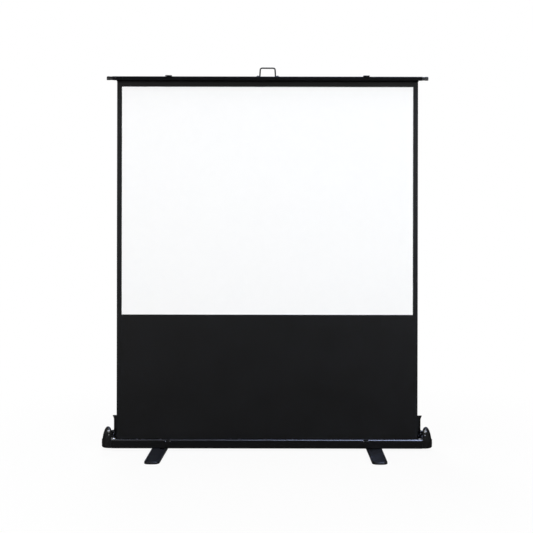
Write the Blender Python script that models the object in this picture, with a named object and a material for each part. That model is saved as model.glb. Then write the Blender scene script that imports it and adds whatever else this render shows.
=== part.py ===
"""Pull-up projection screen on a floor case, lifted by a scissor frame behind the fabric.

Metres, +Z up, +X to the right as seen from the front, and the front faces -Y.
The origin lies on the floor under the middle of the case.
"""

import math

import bmesh
import bpy
from mathutils import Matrix, Vector

# Fits
CLEARANCE = 0.0003          # between pieces that seat on one another
BORE_PLAY = 0.00035         # radial play of a pin in its hole
OPEN_PIVOT_PLAY = 0.0008    # radial play at the scissor pivot that closes the loop

# Viewing surface
FIELD_WIDTH = 1.692
FIELD_HEIGHT = 1.324
SIDE_BORDER = 0.029
TOP_BORDER = 0.031
LOWER_DROP = 0.716
FABRIC_THICKNESS = 0.0004
FIELD_THICKNESS = 0.0003

# Floor case
CASE_DEPTH = 0.120
CASE_HEIGHT = 0.052
CASE_WALL = 0.002
CASE_MARGIN = 0.020         # case beyond each edge of the fabric
FRONT_LIP = 0.014
REAR_LIP = 0.020
RIM_RADIUS = 0.008
CASE_CORNER = 0.004

# Moulded end caps
CAP_LENGTH = 0.0632
CAP_OVERLAP = 0.0015        # cap stands proud of the case by this much
CAP_ROUNDING = 3.5          # power of the curve that rounds the cap in plan
CAP_END_TRIM = 0.0028       # rounded end cut flat this much short of its full curve
CAP_END_RISE = 0.016        # how far the underside lifts towards the end
CRADLE_DROP = 0.002         # floor of the bar's cradle below the case rim
HORN_HEIGHT = 0.076         # above the cradle floor
HORN_SHOULDER = 0.055       # height of the horn's upright inner face
HORN_START = 0.0042         # from the cap's inner end
HORN_APEX = 0.0237
HORN_INSET = 0.0057         # foot of the outer flank, in from the cap's flat end
HORN_SLOPE = 1.7            # power of the curve of the outer flank
CRADLE_PLAY = 0.005         # horn in front of the lowered tongue
BACK_WALL_HEIGHT = 0.032    # above the cradle floor

# Upright guides behind the bar's ends
GUIDE_HEIGHT = 0.119
GUIDE_THICKNESS = 0.004
GUIDE_GAP = 0.0066          # guide behind the lowered bar
GUIDE_WIDTH = 0.040
GUIDE_LIP = 0.008
GUIDE_TUCK = 0.014          # inner edge of the guide, in from the fabric's edge
GUSSET_HEIGHT = 0.052
GUSSET_DEPTH = 0.012

# Feet
FOOT_LENGTH = 0.710
FOOT_WIDTH = 0.090
FOOT_TOE_WIDTH = 0.084
FOOT_TOE_CROWN = 0.008
FOOT_THICKNESS = 0.0115
FOOT_CORNER = 0.028
FOOT_EDGE = 0.0045
FOOT_INSET = 0.274          # foot's axis, in from the end of the case
PAD_HEIGHT = 0.0022
PAD_WIDTH = 0.062
PAD_DEPTH = 0.024
PAD_INSET = 0.032
DISC_RADIUS = 0.036
DISC_THICKNESS = 0.0014
FOOT_BOLT_RADIUS = 0.005
FOOT_BOLT_HEAD = 0.009
FOOT_BOLT_HEAD_HEIGHT = 0.0035
FOOT_NUT_HEIGHT = 0.0016    # flat, so that the folded arms pass over it
FOOT_WALL = 0.003
FOOT_SKIN = 0.0035
FOOT_RIB = 0.003
FOOT_BOSS = 0.026           # solid round the bolt, along the foot
FOOT_TOE_BLOCK = 0.068      # solid toe that the pad seats on
FOOT_BOLT_SINK = 0.0015     # head below the underside of the foot

# Spring roller
ROLLER_SETBACK = 0.0275     # from the case's front face to the roller's axis
ROLLER_RISE = 0.0235        # from the case floor to the roller's axis
ROLLER_RADIUS = 0.016
ROLLER_WALL = 0.0015
ROLLER_END_GAP = 0.001      # tube beyond the fabric's edge
PLUG_FLANGE = 0.003
PLUG_SPIGOT = 0.024
GUDGEON_RADIUS = 0.004
BRACKET_THICKNESS = 0.003
BRACKET_GAP = 0.0025
BRACKET_TAB = 0.0085         # top of the plate, folded outwards
MANDREL_LENGTH = 0.360
MANDREL_COLLAR = 0.012
SPRING_RADIUS = 0.0085
SPRING_WIRE = 0.0011
SPRING_TURNS = 18
LEADER_TURNS = 2.5
LEADER_PITCH = 0.0009
LEADER_START = 0.0006       # first turn above the tube

# Top bar, which is also the lid of the closed case
BAR_HEIGHT = 0.023
BAR_WALL = 0.0025
BAR_SETBACK = 0.0025        # bar's front face behind the case's front face
BAR_ROUNDING = 0.007
BAR_INNER_ROUNDING = 0.002
BAR_END_GAP = 0.002         # bar short of the case at each end
GROOVE_WIDTH = 0.023
GROOVE_LIP = 0.003
FABRIC_SLOT = 0.004
CHANNEL_WIDTH = 0.031
END_PLATE = 0.003
TONGUE_LENGTH = 0.0392
TONGUE_FRONT_INSET = 0.020   # tongue behind the bar's front face
TONGUE_DEPTH = 0.018
TONGUE_HEIGHT = 0.0145
END_TRIM = 0.001            # end plate inside the bar's outline
END_CUT_FRONT = 0.0125      # bar's ends cut away underneath, from here behind its front
END_CUT_RISE = 0.016        # and to this height at the back
END_CUT_ROUNDING = 0.002
TONGUE_WAIST = 0.0018       # neck thinner than the knob, above and below
TONGUE_KNOB = 0.020
TONGUE_EDGE = 0.005
BATTEN_WIDTH = 0.018
BATTEN_HEIGHT = 0.009

# Scissor lift
RAISED_ANGLE = math.radians(54.44)
ARM_WIDTH = 0.020
ARM_THICKNESS = 0.008
WASHER_THICKNESS = 0.0014
WASHER_RADIUS = 0.009
PIN_RADIUS = 0.004
PIN_HEAD = 0.007
PIN_HEAD_THICKNESS = 0.002
PIN_COLLAR = 0.0065
HEAD_PLAY = 0.0012          # pin heads to the wall of the bar's channel
RAIL_PLAY = 0.0015          # rear arms to the rails
RAIL_HEIGHT = 0.0234
RAIL_WALL = 0.002
RAIL_BACK_WALL = 0.0022
RAIL_INSET = 0.0196         # rail short of the bar's end
RAIL_ROOF_GAP = 0.0008      # upper rail under the channel's rounded corner
RAIL_MARGIN = 0.0237        # rail beyond the slider's travel
CLOSED_GAP = 0.001          # lowered bar above the case rim
SLIDER_LENGTH = 0.044
SLIDER_FRONT_GAP = 0.0005
PIVOT_BLOCK_LENGTH = 0.046

# Carrying handle
HANDLE_Y = -0.012
HANDLE_ROD = 0.0042
HANDLE_BASE = 0.091
HANDLE_TOP = 0.085
HANDLE_RISE = 0.0500
HANDLE_CORNER = 0.010
HANDLE_FOOT_BEND = 0.006
HANDLE_AXIS_RISE = 0.0055
CLIP_LENGTH = 0.011
CLIP_WIDTH = 0.015
CLIP_HEAD = 0.0064
CLIP_GAP = 0.006            # clip outside the handle's leg
CLIP_TAIL = 0.002           # rod beyond the clip

# Hasp latches
LATCH_INSET = 0.323         # latch, in from the bar's end
LATCH_REACH = 0.0056        # hinge axis in front of the bar's face
LATCH_RISE = 0.0026
KNUCKLE_RADIUS = 0.0022
KNUCKLE_LENGTH = 0.009
HASP_RIM = 0.003            # beside the window
HASP_TIP = 0.0035           # beyond the window
HASP_THICKNESS = 0.0018
HASP_BARREL = 0.0024
HASP_PIN = 0.0014
HASP_SIDE_PLAY = 0.0005
HASP_WINDOW_WIDTH = 0.012
HASP_WINDOW_LENGTH = 0.0095
HASP_WINDOW_START = 0.031
LATCH_PLATE_THICKNESS = 0.0010
LATCH_PLATE_DEPTH = 0.018
CATCH_PLATE_WIDTH = 0.030
CATCH_PLATE_DROP = 0.0068     # below the middle of the nose
CATCH_PLATE_THICKNESS = 0.0012
CATCH_NOSE_WIDTH = 0.009
CATCH_NOSE_HEIGHT = 0.0045
CATCH_NOSE_REACH = 0.0060

# Facets
ARC_STEPS = 4
TOE_STEPS = 2
ROUND_STEPS = 16
ROLLER_STEPS = 28
MERGE = 0.00001

# Heights that follow
FOOT_BOTTOM = PAD_HEIGHT + CLEARANCE
FOOT_TOP = FOOT_BOTTOM + FOOT_THICKNESS
CASE_BOTTOM = FOOT_TOP + DISC_THICKNESS + 2 * CLEARANCE
CASE_FLOOR = CASE_BOTTOM + CASE_WALL
CASE_TOP = CASE_BOTTOM + CASE_HEIGHT
CRADLE_FLOOR = CASE_TOP - CRADLE_DROP
FIELD_BOTTOM = CASE_TOP + LOWER_DROP
FIELD_TOP = FIELD_BOTTOM + FIELD_HEIGHT
BAR_BOTTOM = FIELD_TOP + TOP_BORDER
BAR_TOP = BAR_BOTTOM + BAR_HEIGHT
BAR_ROOF = BAR_TOP - BAR_WALL
BAR_MIDDLE = (BAR_BOTTOM + BAR_TOP) / 2

# Widths that follow
FABRIC_HALF = FIELD_WIDTH / 2 + SIDE_BORDER
CASE_HALF = FABRIC_HALF + CASE_MARGIN
CAP_INNER = CASE_HALF + CLEARANCE
BAR_HALF = CASE_HALF - BAR_END_GAP
ROLLER_HALF = FABRIC_HALF + ROLLER_END_GAP
FOOT_X = CASE_HALF - FOOT_INSET
LATCH_X = BAR_HALF - LATCH_INSET
RAIL_END = BAR_HALF - RAIL_INSET
CAP_END = CAP_LENGTH - CAP_END_TRIM
HORN_REACH = CAP_END - HORN_INSET
BRACKET_INNER = ROLLER_HALF + CLEARANCE + PLUG_FLANGE + BRACKET_GAP
BRACKET_OUTER = BRACKET_INNER + BRACKET_THICKNESS

# Depths that follow, from the front to the back
CASE_FRONT = -CASE_DEPTH / 2
CASE_BACK = CASE_DEPTH / 2
BAR_FRONT = CASE_FRONT + BAR_SETBACK
ROLLER_Y = CASE_FRONT + ROLLER_SETBACK
ROLLER_Z = CASE_FLOOR + ROLLER_RISE
LEADER_INNER = ROLLER_RADIUS + LEADER_START
ROLL_RADIUS = LEADER_INNER + LEADER_PITCH * LEADER_TURNS + FABRIC_THICKNESS
FABRIC_BACK = ROLLER_Y + ROLL_RADIUS
FABRIC_FRONT = FABRIC_BACK - FABRIC_THICKNESS
FABRIC_MIDDLE = (FABRIC_BACK + FABRIC_FRONT) / 2
GROOVE_FRONT = FABRIC_MIDDLE - GROOVE_WIDTH / 2
GROOVE_BACK = FABRIC_MIDDLE + GROOVE_WIDTH / 2
CHANNEL_FRONT = GROOVE_BACK + BAR_WALL
CHANNEL_BACK = CHANNEL_FRONT + CHANNEL_WIDTH
BAR_BACK = CHANNEL_BACK + BAR_WALL
TONGUE_FRONT = BAR_FRONT + TONGUE_FRONT_INSET
TONGUE_BACK = TONGUE_FRONT + TONGUE_DEPTH
TONGUE_MIDDLE = BAR_TOP - END_TRIM - TONGUE_HEIGHT / 2
CRADLE_FRONT = TONGUE_FRONT - CRADLE_PLAY
CRADLE_BACK = BAR_BACK + GUIDE_GAP + GUIDE_THICKNESS + CLEARANCE
FRONT_HEAD = CHANNEL_FRONT + HEAD_PLAY
FRONT_ARM = FRONT_HEAD + PIN_HEAD_THICKNESS + CLEARANCE
FRONT_ARM_BACK = FRONT_ARM + ARM_THICKNESS
REAR_ARM = FRONT_ARM_BACK + WASHER_THICKNESS + 2 * CLEARANCE
REAR_ARM_BACK = REAR_ARM + ARM_THICKNESS
RAIL_FRONT = REAR_ARM_BACK + RAIL_PLAY
RAIL_BACK = CHANNEL_BACK - CLEARANCE
RAIL_WEB = RAIL_BACK - RAIL_BACK_WALL

# Scissor geometry that follows
LOWER_PIVOT_Z = CASE_FLOOR + CLEARANCE + RAIL_HEIGHT / 2
UPPER_PIVOT_Z = BAR_ROOF - BAR_INNER_ROUNDING - RAIL_ROOF_GAP - RAIL_HEIGHT / 2
PIVOT_RISE = UPPER_PIVOT_Z - BAR_BOTTOM
LIFT = UPPER_PIVOT_Z - LOWER_PIVOT_Z
ARM_LENGTH = LIFT / (2 * math.sin(RAISED_ANGLE))
SPAN = ARM_LENGTH * math.cos(RAISED_ANGLE)
MIDDLE_Z = LOWER_PIVOT_Z + LIFT / 2
CLOSED_PIVOT_Z = CASE_TOP + CLOSED_GAP + PIVOT_RISE
CLOSED_ANGLE = math.asin((CLOSED_PIVOT_Z - LOWER_PIVOT_Z) / (2 * ARM_LENGTH))
CLOSED_SLIDER_X = RAIL_END - RAIL_MARGIN
PIVOT_X = CLOSED_SLIDER_X - ARM_LENGTH * math.cos(CLOSED_ANGLE)
SLIDER_X = PIVOT_X + SPAN

# Hasp sizes that follow
HASP_WIDTH = HASP_WINDOW_WIDTH + 2 * HASP_RIM
HASP_LENGTH = HASP_WINDOW_START + HASP_WINDOW_LENGTH + HASP_TIP

# Directions that an outline is extruded in: its own two axes, then the extrusion
ALONG_X = Matrix(((0, 0, 1, 0), (1, 0, 0, 0), (0, 1, 0, 0), (0, 0, 0, 1)))
ALONG_Y = Matrix(((1, 0, 0, 0), (0, 0, 1, 0), (0, 1, 0, 0), (0, 0, 0, 1)))
ALONG_Z = Matrix.Identity(4)

# Finishes: colour, roughness, metallic
FINISHES = {
    "black_coated_aluminium": ((0.012, 0.012, 0.013), 0.38, 0.3),
    "black_moulded_plastic": ((0.010, 0.010, 0.011), 0.25, 0.0),
    "black_powder_coated_steel": ((0.014, 0.015, 0.018), 0.45, 0.2),
    "black_fabric": ((0.014, 0.014, 0.014), 0.85, 0.0),
    "matt_white_fabric": ((0.90, 0.90, 0.90), 0.80, 0.0),
    "satin_aluminium": ((0.62, 0.63, 0.65), 0.35, 1.0),
    "zinc_plated_steel": ((0.55, 0.56, 0.58), 0.32, 1.0),
    "spring_steel": ((0.30, 0.30, 0.32), 0.40, 1.0),
    "nylon": ((0.75, 0.74, 0.70), 0.55, 0.0),
    "black_rubber": ((0.012, 0.012, 0.012), 0.85, 0.0),
    "dark_grey_rod": ((0.045, 0.046, 0.050), 0.40, 0.4),
}


def clear_scene():
    """Remove every object that the file opens with."""
    for thing in list(bpy.data.objects):
        bpy.data.objects.remove(thing, do_unlink=True)


def finish(name):
    """The named finish as a material, made once."""
    known = bpy.data.materials.get(name)
    if known:
        return known
    colour, roughness, metallic = FINISHES[name]
    material = bpy.data.materials.new(name)
    material.use_nodes = True
    shader = material.node_tree.nodes["Principled BSDF"]
    shader.inputs["Base Color"].default_value = (*colour, 1.0)
    shader.inputs["Roughness"].default_value = roughness
    shader.inputs["Metallic"].default_value = metallic
    return material


def rounded(corners, steps=ARC_STEPS):
    """Points of an outline whose corners (u, v, radius) become arcs."""
    points = []
    for place, (u, v, radius) in enumerate(corners):
        here = Vector((u, v))
        if radius == 0:
            points.append((u, v))
            continue
        before = (Vector(corners[place - 1][:2]) - here).normalized()
        after = (Vector(corners[(place + 1) % len(corners)][:2]) - here).normalized()
        half = before.angle(after) / 2
        centre = here + (before + after).normalized() * radius / math.sin(half)
        first = here + before * radius / math.tan(half) - centre
        last = here + after * radius / math.tan(half) - centre
        start = math.atan2(first.y, first.x)
        sweep = math.remainder(math.atan2(last.y, last.x) - start, 2 * math.pi)
        for step in range(steps + 1):
            angle = start + sweep * step / steps
            points.append((centre.x + radius * math.cos(angle), centre.y + radius * math.sin(angle)))
    kept = [point for place, point in enumerate(points) if math.dist(point, points[place - 1]) > MERGE]
    return kept


def circle(u, v, radius, steps=ROUND_STEPS):
    """Points of a full circle."""
    angles = [2 * math.pi * step / steps for step in range(steps)]
    return [(u + radius * math.cos(a), v + radius * math.sin(a)) for a in angles]


def box(low, high):
    """Corners of a rectangle, as an outline with square corners."""
    return [(low[0], low[1]), (high[0], low[1]), (high[0], high[1]), (low[0], high[1])]


def ring_profile(inner, outer, low, high):
    """Profile of a hollow ring or tube, for turning."""
    return [(inner, low), (outer, low), (outer, high), (inner, high)]


def slab(outline, start, end, direction, holes=()):
    """A solid with this outline and these holes, from start to end along its direction."""
    solid = bmesh.new()
    edges = []
    for loop in [outline, *holes]:
        corners = [solid.verts.new((u, v, start)) for u, v in loop]
        edges += [solid.edges.new((a, b)) for a, b in zip(corners, corners[1:] + corners[:1])]
    bmesh.ops.triangle_fill(solid, edges=edges, use_beauty=True)
    grown = bmesh.ops.extrude_face_region(solid, geom=solid.faces[:])["geom"]
    moved = [item for item in grown if isinstance(item, bmesh.types.BMVert)]
    bmesh.ops.translate(solid, verts=moved, vec=(0, 0, end - start))
    bmesh.ops.transform(solid, matrix=direction, verts=solid.verts)
    bmesh.ops.dissolve_limit(
        solid, angle_limit=math.radians(0.05), verts=solid.verts, edges=solid.edges
    )
    bmesh.ops.recalc_face_normals(solid, faces=solid.faces)
    return solid


def turned(profile, direction, centre=(0, 0, 0), steps=ROUND_STEPS, ring=False):
    """A solid of revolution: profile of (radius, distance along the axis), a ring if it is hollow."""
    solid = bmesh.new()
    corners = [solid.verts.new((radius, 0, along)) for radius, along in profile]
    pairs = list(zip(corners, corners[1:]))
    if ring:
        pairs.append((corners[-1], corners[0]))
    edges = [solid.edges.new(pair) for pair in pairs]
    bmesh.ops.spin(
        solid, geom=corners + edges, cent=(0, 0, 0), axis=(0, 0, 1), angle=2 * math.pi, steps=steps
    )
    bmesh.ops.remove_doubles(solid, verts=solid.verts, dist=MERGE)
    bmesh.ops.transform(solid, matrix=Matrix.Translation(centre) @ direction, verts=solid.verts)
    bmesh.ops.recalc_face_normals(solid, faces=solid.faces)
    return solid


def loft(sections):
    """A solid through rings of as many points each, closed by flat ends."""
    solid = bmesh.new()
    rings = [[solid.verts.new(point) for point in section] for section in sections]
    for near, far in zip(rings, rings[1:]):
        for place in range(len(near)):
            after = (place + 1) % len(near)
            solid.faces.new((near[place], near[after], far[after], far[place]))
    solid.faces.new(rings[0])
    solid.faces.new(rings[-1])
    bmesh.ops.recalc_face_normals(solid, faces=solid.faces)
    return solid


def mirrored(solid):
    """The same solid on the other side of the middle plane."""
    bmesh.ops.scale(solid, vec=(-1, 1, 1), verts=solid.verts)
    bmesh.ops.recalc_face_normals(solid, faces=solid.faces)
    return solid


def moved(solid, offset):
    """The same solid, moved."""
    bmesh.ops.translate(solid, verts=solid.verts, vec=offset)
    return solid


def add(name, solid, finish_name, origin=(0, 0, 0), turn=0.0):
    """An object with its origin on its joint's axis, turned about Y from where it was drawn."""
    mesh = bpy.data.meshes.new(name)
    bmesh.ops.translate(solid, verts=solid.verts, vec=-Vector(origin))
    solid.to_mesh(mesh)
    solid.free()
    mesh.materials.append(finish(finish_name))
    mesh.shade_smooth()
    mesh.set_sharp_from_angle(angle=math.radians(32))
    thing = bpy.data.objects.new(name, mesh)
    thing.location = origin
    thing.rotation_euler = (0, turn, 0)
    bpy.context.collection.objects.link(thing)
    return thing


def combine(thing, solid, operation):
    """Cut a solid out of an object, or join it on, with a Boolean modifier."""
    mesh = bpy.data.meshes.new(thing.name + "_tool")
    solid.to_mesh(mesh)
    solid.free()
    tool = bpy.data.objects.new(thing.name + "_tool", mesh)
    tool.hide_render = True
    tool.display_type = "WIRE"
    bpy.context.collection.objects.link(tool)
    modifier = thing.modifiers.new(operation.lower(), "BOOLEAN")
    modifier.operation = operation
    modifier.object = tool


def bevelled(solid, edges, width, steps):
    """Round the given edges of a solid."""
    bmesh.ops.bevel(
        solid, geom=edges, offset=width, segments=steps, profile=0.5, affect="EDGES",
        clamp_overlap=True,
    )
    return solid


def sides():
    """Name and direction of the two ends of the screen."""
    return (("left", -1), ("right", 1))


def make_case():
    """Aluminium trough with turned-in lips and a rounded front rim."""
    inner_front = CASE_FRONT + CASE_WALL
    inner_back = CASE_BACK - CASE_WALL
    under_lip = CASE_TOP - CASE_WALL
    outline = rounded([
        (CASE_FRONT, CASE_BOTTOM, CASE_CORNER),
        (CASE_BACK, CASE_BOTTOM, CASE_CORNER),
        (CASE_BACK, CASE_TOP, CASE_CORNER),
        (CASE_BACK - REAR_LIP, CASE_TOP, 0),
        (CASE_BACK - REAR_LIP, under_lip, 0),
        (inner_back, under_lip, CASE_CORNER - CASE_WALL),
        (inner_back, CASE_FLOOR, CASE_CORNER - CASE_WALL),
        (inner_front, CASE_FLOOR, CASE_CORNER - CASE_WALL),
        (inner_front, under_lip, RIM_RADIUS - CASE_WALL),
        (CASE_FRONT + FRONT_LIP, under_lip, 0),
        (CASE_FRONT + FRONT_LIP, CASE_TOP, 0),
        (CASE_FRONT, CASE_TOP, RIM_RADIUS),
    ])
    case = add("case_trough", slab(outline, -CASE_HALF, CASE_HALF, ALONG_X), "black_coated_aluminium")
    for name, side in sides():
        bore = FOOT_BOLT_RADIUS + BORE_PLAY
        hole = ring_profile(0, bore, CASE_BOTTOM - CASE_WALL, CASE_FLOOR + CASE_WALL)
        combine(case, turned(hole, ALONG_Z, (side * FOOT_X, 0, 0)), "DIFFERENCE")


def horn_height(along):
    """Height of the cap's front horn above the cradle floor, at a distance from the cap's inner end."""
    low = 0.001
    if along <= HORN_START or along >= HORN_REACH:
        return low
    if along < HORN_APEX:
        share = (HORN_APEX - along) / (HORN_APEX - HORN_START)
        return HORN_SHOULDER + (HORN_HEIGHT - HORN_SHOULDER) * math.sqrt(1 - share ** 2)
    share = (along - HORN_APEX) / (HORN_REACH - HORN_APEX)
    return max(low, HORN_HEIGHT * (1 - share ** HORN_SLOPE) ** (1 / HORN_SLOPE))


def cap_section(along):
    """Outline of an end cap, front to back, at a distance from its inner end."""
    share = along / CAP_LENGTH
    swell = (1 - share ** CAP_ROUNDING) ** (1 / CAP_ROUNDING)
    front = (CASE_FRONT - CAP_OVERLAP) * swell
    back = (CASE_BACK + CAP_OVERLAP) * swell
    horn_back = CRADLE_FRONT * swell
    wall_front = CRADLE_BACK * swell
    bottom = CASE_BOTTOM + CAP_END_RISE * (1 - swell)
    horn = horn_height(along)
    wall = BACK_WALL_HEIGHT * math.sqrt(1 - share ** 6)
    depth = horn_back - front
    body = CRADLE_FLOOR - bottom
    thickness = back - wall_front
    return [
        (0.86 * front, bottom),
        (0.97 * front, bottom + 0.06 * body),
        (front, bottom + 0.2 * body),
        (front, bottom + 0.7 * body),
        (front, CRADLE_FLOOR - 0.04 * body),
        (front + 0.08 * depth, CRADLE_FLOOR + 0.5 * horn),
        (front + 0.22 * depth, CRADLE_FLOOR + 0.85 * horn),
        (front + 0.42 * depth, CRADLE_FLOOR + 0.97 * horn),
        (front + 0.64 * depth, CRADLE_FLOOR + horn),
        (horn_back - 0.10 * depth, CRADLE_FLOOR + 0.96 * horn),
        (horn_back, CRADLE_FLOOR + 0.86 * horn),
        (horn_back, CRADLE_FLOOR + 0.10 * horn),
        (horn_back + 0.06 * depth, CRADLE_FLOOR),
        (wall_front - 0.10 * thickness, CRADLE_FLOOR),
        (wall_front, CRADLE_FLOOR + 0.05 * wall),
        (wall_front, CRADLE_FLOOR + 0.92 * wall),
        (wall_front + 0.12 * thickness, CRADLE_FLOOR + wall),
        (back - 0.45 * thickness, CRADLE_FLOOR + wall),
        (back - 0.10 * thickness, CRADLE_FLOOR + 0.82 * wall),
        (back, CRADLE_FLOOR + 0.4 * wall),
        (back, bottom + 0.2 * body),
        (0.97 * back, bottom + 0.06 * body),
        (0.86 * back, bottom),
    ]


def make_end_caps():
    """Moulded caps whose front horns stand before the bar's ends when it is lowered."""
    rise = [HORN_APEX - (HORN_APEX - HORN_START) * math.cos(math.pi / 2 * k / 4) for k in range(1, 5)]
    fall = [HORN_APEX + (HORN_REACH - HORN_APEX) * math.sin(math.pi / 2 * k / 7) for k in range(1, 8)]
    face = HORN_START + (HORN_APEX - HORN_START) * 0.02
    stations = [0.0, HORN_START, face, *rise, *fall, (HORN_REACH + CAP_END) / 2, CAP_END]
    for name, side in sides():
        sections = [[(CAP_INNER + x, y, z) for y, z in cap_section(x)] for x in stations]
        solid = loft(sections)
        if side < 0:
            solid = mirrored(solid)
        add("end_cap_" + name, solid, "black_moulded_plastic")


def make_guides():
    """Upright guides behind the bar's ends, with a turned-out lip and a gusset."""
    inner = FABRIC_HALF - GUIDE_TUCK
    outer = inner + GUIDE_WIDTH
    low = CASE_TOP + CLEARANCE
    high = low + GUIDE_HEIGHT
    back = CRADLE_BACK - CLEARANCE
    outline = rounded([
        (inner, low, 0),
        (outer + GUIDE_LIP, low, 0),
        (outer + GUIDE_LIP, low + 0.21 * GUIDE_HEIGHT, 0.004),
        (outer, low + 0.30 * GUIDE_HEIGHT, 0.012),
        (outer, high - 0.17 * GUIDE_HEIGHT, 0.012),
        (outer + GUIDE_LIP, high, 0.0015),
        (inner, high, 0.010),
    ])
    sunk = back - GUIDE_THICKNESS / 2
    toe = back + GUSSET_DEPTH
    gusset = [(sunk, low), (toe, low), (toe, low + GUIDE_THICKNESS), (sunk, low + GUSSET_HEIGHT)]
    for name, side in sides():
        plate = slab(outline, back - GUIDE_THICKNESS, back, ALONG_Y)
        rib = slab(gusset, inner + GUIDE_THICKNESS, inner + 2 * GUIDE_THICKNESS, ALONG_X)
        if side < 0:
            plate = mirrored(plate)
            rib = mirrored(rib)
        guide = add("bar_guide_" + name, plate, "black_moulded_plastic")
        combine(guide, rib, "UNION")


def foot_outline():
    """Plan of a foot: long sides that draw in to crowned toes with rounded corners."""
    half = FOOT_LENGTH / 2
    side = FOOT_TOE_WIDTH / 2
    bow = (side * side + FOOT_TOE_CROWN * FOOT_TOE_CROWN) / (2 * FOOT_TOE_CROWN)
    swing = math.asin(side / bow)
    toe = []
    for step in range(-TOE_STEPS, TOE_STEPS + 1):
        angle = swing * step / TOE_STEPS
        radius = FOOT_CORNER if abs(step) == TOE_STEPS else 0
        toe.append((bow * math.sin(angle), half - bow + bow * math.cos(angle), radius))
    heel = [(-u, -v, radius) for u, v, radius in toe]
    return rounded([*toe, (FOOT_WIDTH / 2, 0, 0), *heel, (-FOOT_WIDTH / 2, 0, 0)])


def foot_pockets():
    """Plan of the hollows in a foot's underside, either side of a rib, before and behind the bolt."""
    side = FOOT_TOE_WIDTH / 2 - FOOT_WALL
    far = FOOT_LENGTH / 2 - FOOT_TOE_BLOCK
    near = box((FOOT_RIB / 2, FOOT_BOSS), (side, far))
    quarters = [[(sx * u, sy * v, FOOT_WALL) for u, v in near] for sx in (-1, 1) for sy in (-1, 1)]
    return [rounded(quarter, 2) for quarter in quarters]


def make_feet():
    """Flat feet on swivel discs, each on one bolt, with rubber pads near both toes."""
    hole = FOOT_BOLT_RADIUS + BORE_PLAY
    head = FOOT_BOLT_HEAD + BORE_PLAY
    head_low = FOOT_BOTTOM + FOOT_BOLT_SINK
    head_high = head_low + FOOT_BOLT_HEAD_HEIGHT
    for name, side in sides():
        pivot = Vector((side * FOOT_X, 0, 0))
        plate = slab(foot_outline(), FOOT_BOTTOM, FOOT_TOP, ALONG_Z, [circle(0, 0, hole)])
        upper = [edge for edge in plate.edges if all(v.co.z > FOOT_TOP - MERGE for v in edge.verts)]
        rim = [edge for edge in upper if all(v.co.xy.length > head for v in edge.verts)]
        plate = moved(bevelled(plate, rim, FOOT_EDGE, 3), pivot)
        foot = add("foot_" + name, plate, "black_powder_coated_steel", pivot)
        recess = ring_profile(0, head, 0, head_high + CLEARANCE)
        combine(foot, turned(recess, ALONG_Z, pivot), "DIFFERENCE")
        for pocket in foot_pockets():
            hollow = slab(pocket, FOOT_BOTTOM - FOOT_SKIN, FOOT_TOP - FOOT_SKIN, ALONG_Z)
            combine(foot, moved(hollow, pivot), "DIFFERENCE")
        bolt = [
            (0, head_low), (FOOT_BOLT_HEAD, head_low), (FOOT_BOLT_HEAD, head_high),
            (FOOT_BOLT_RADIUS, head_high), (FOOT_BOLT_RADIUS, CASE_FLOOR + CLEARANCE),
            (FOOT_BOLT_HEAD, CASE_FLOOR + CLEARANCE), (FOOT_BOLT_HEAD, CASE_FLOOR + FOOT_NUT_HEIGHT),
            (0, CASE_FLOOR + FOOT_NUT_HEIGHT),
        ]
        add("foot_bolt_" + name, turned(bolt, ALONG_Z, pivot), "zinc_plated_steel", pivot)
        low = FOOT_TOP + CLEARANCE
        disc = ring_profile(hole, DISC_RADIUS, low, low + DISC_THICKNESS)
        swivel = turned(disc, ALONG_Z, pivot, ROLLER_STEPS, ring=True)
        add("foot_disc_" + name, swivel, "nylon", pivot)
        reach = FOOT_LENGTH / 2 - PAD_INSET - PAD_DEPTH
        for end, way in (("front", -1), ("rear", 1)):
            near, far = sorted((way * reach, way * (reach + PAD_DEPTH)))
            corners = box((-PAD_WIDTH / 2, near), (PAD_WIDTH / 2, far))
            outline = rounded([(u, v, PAD_DEPTH / 3) for u, v in corners])
            pad = moved(slab(outline, 0, PAD_HEIGHT, ALONG_Z), pivot)
            add("foot_pad_" + name + "_" + end, pad, "black_rubber", pivot)


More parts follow.
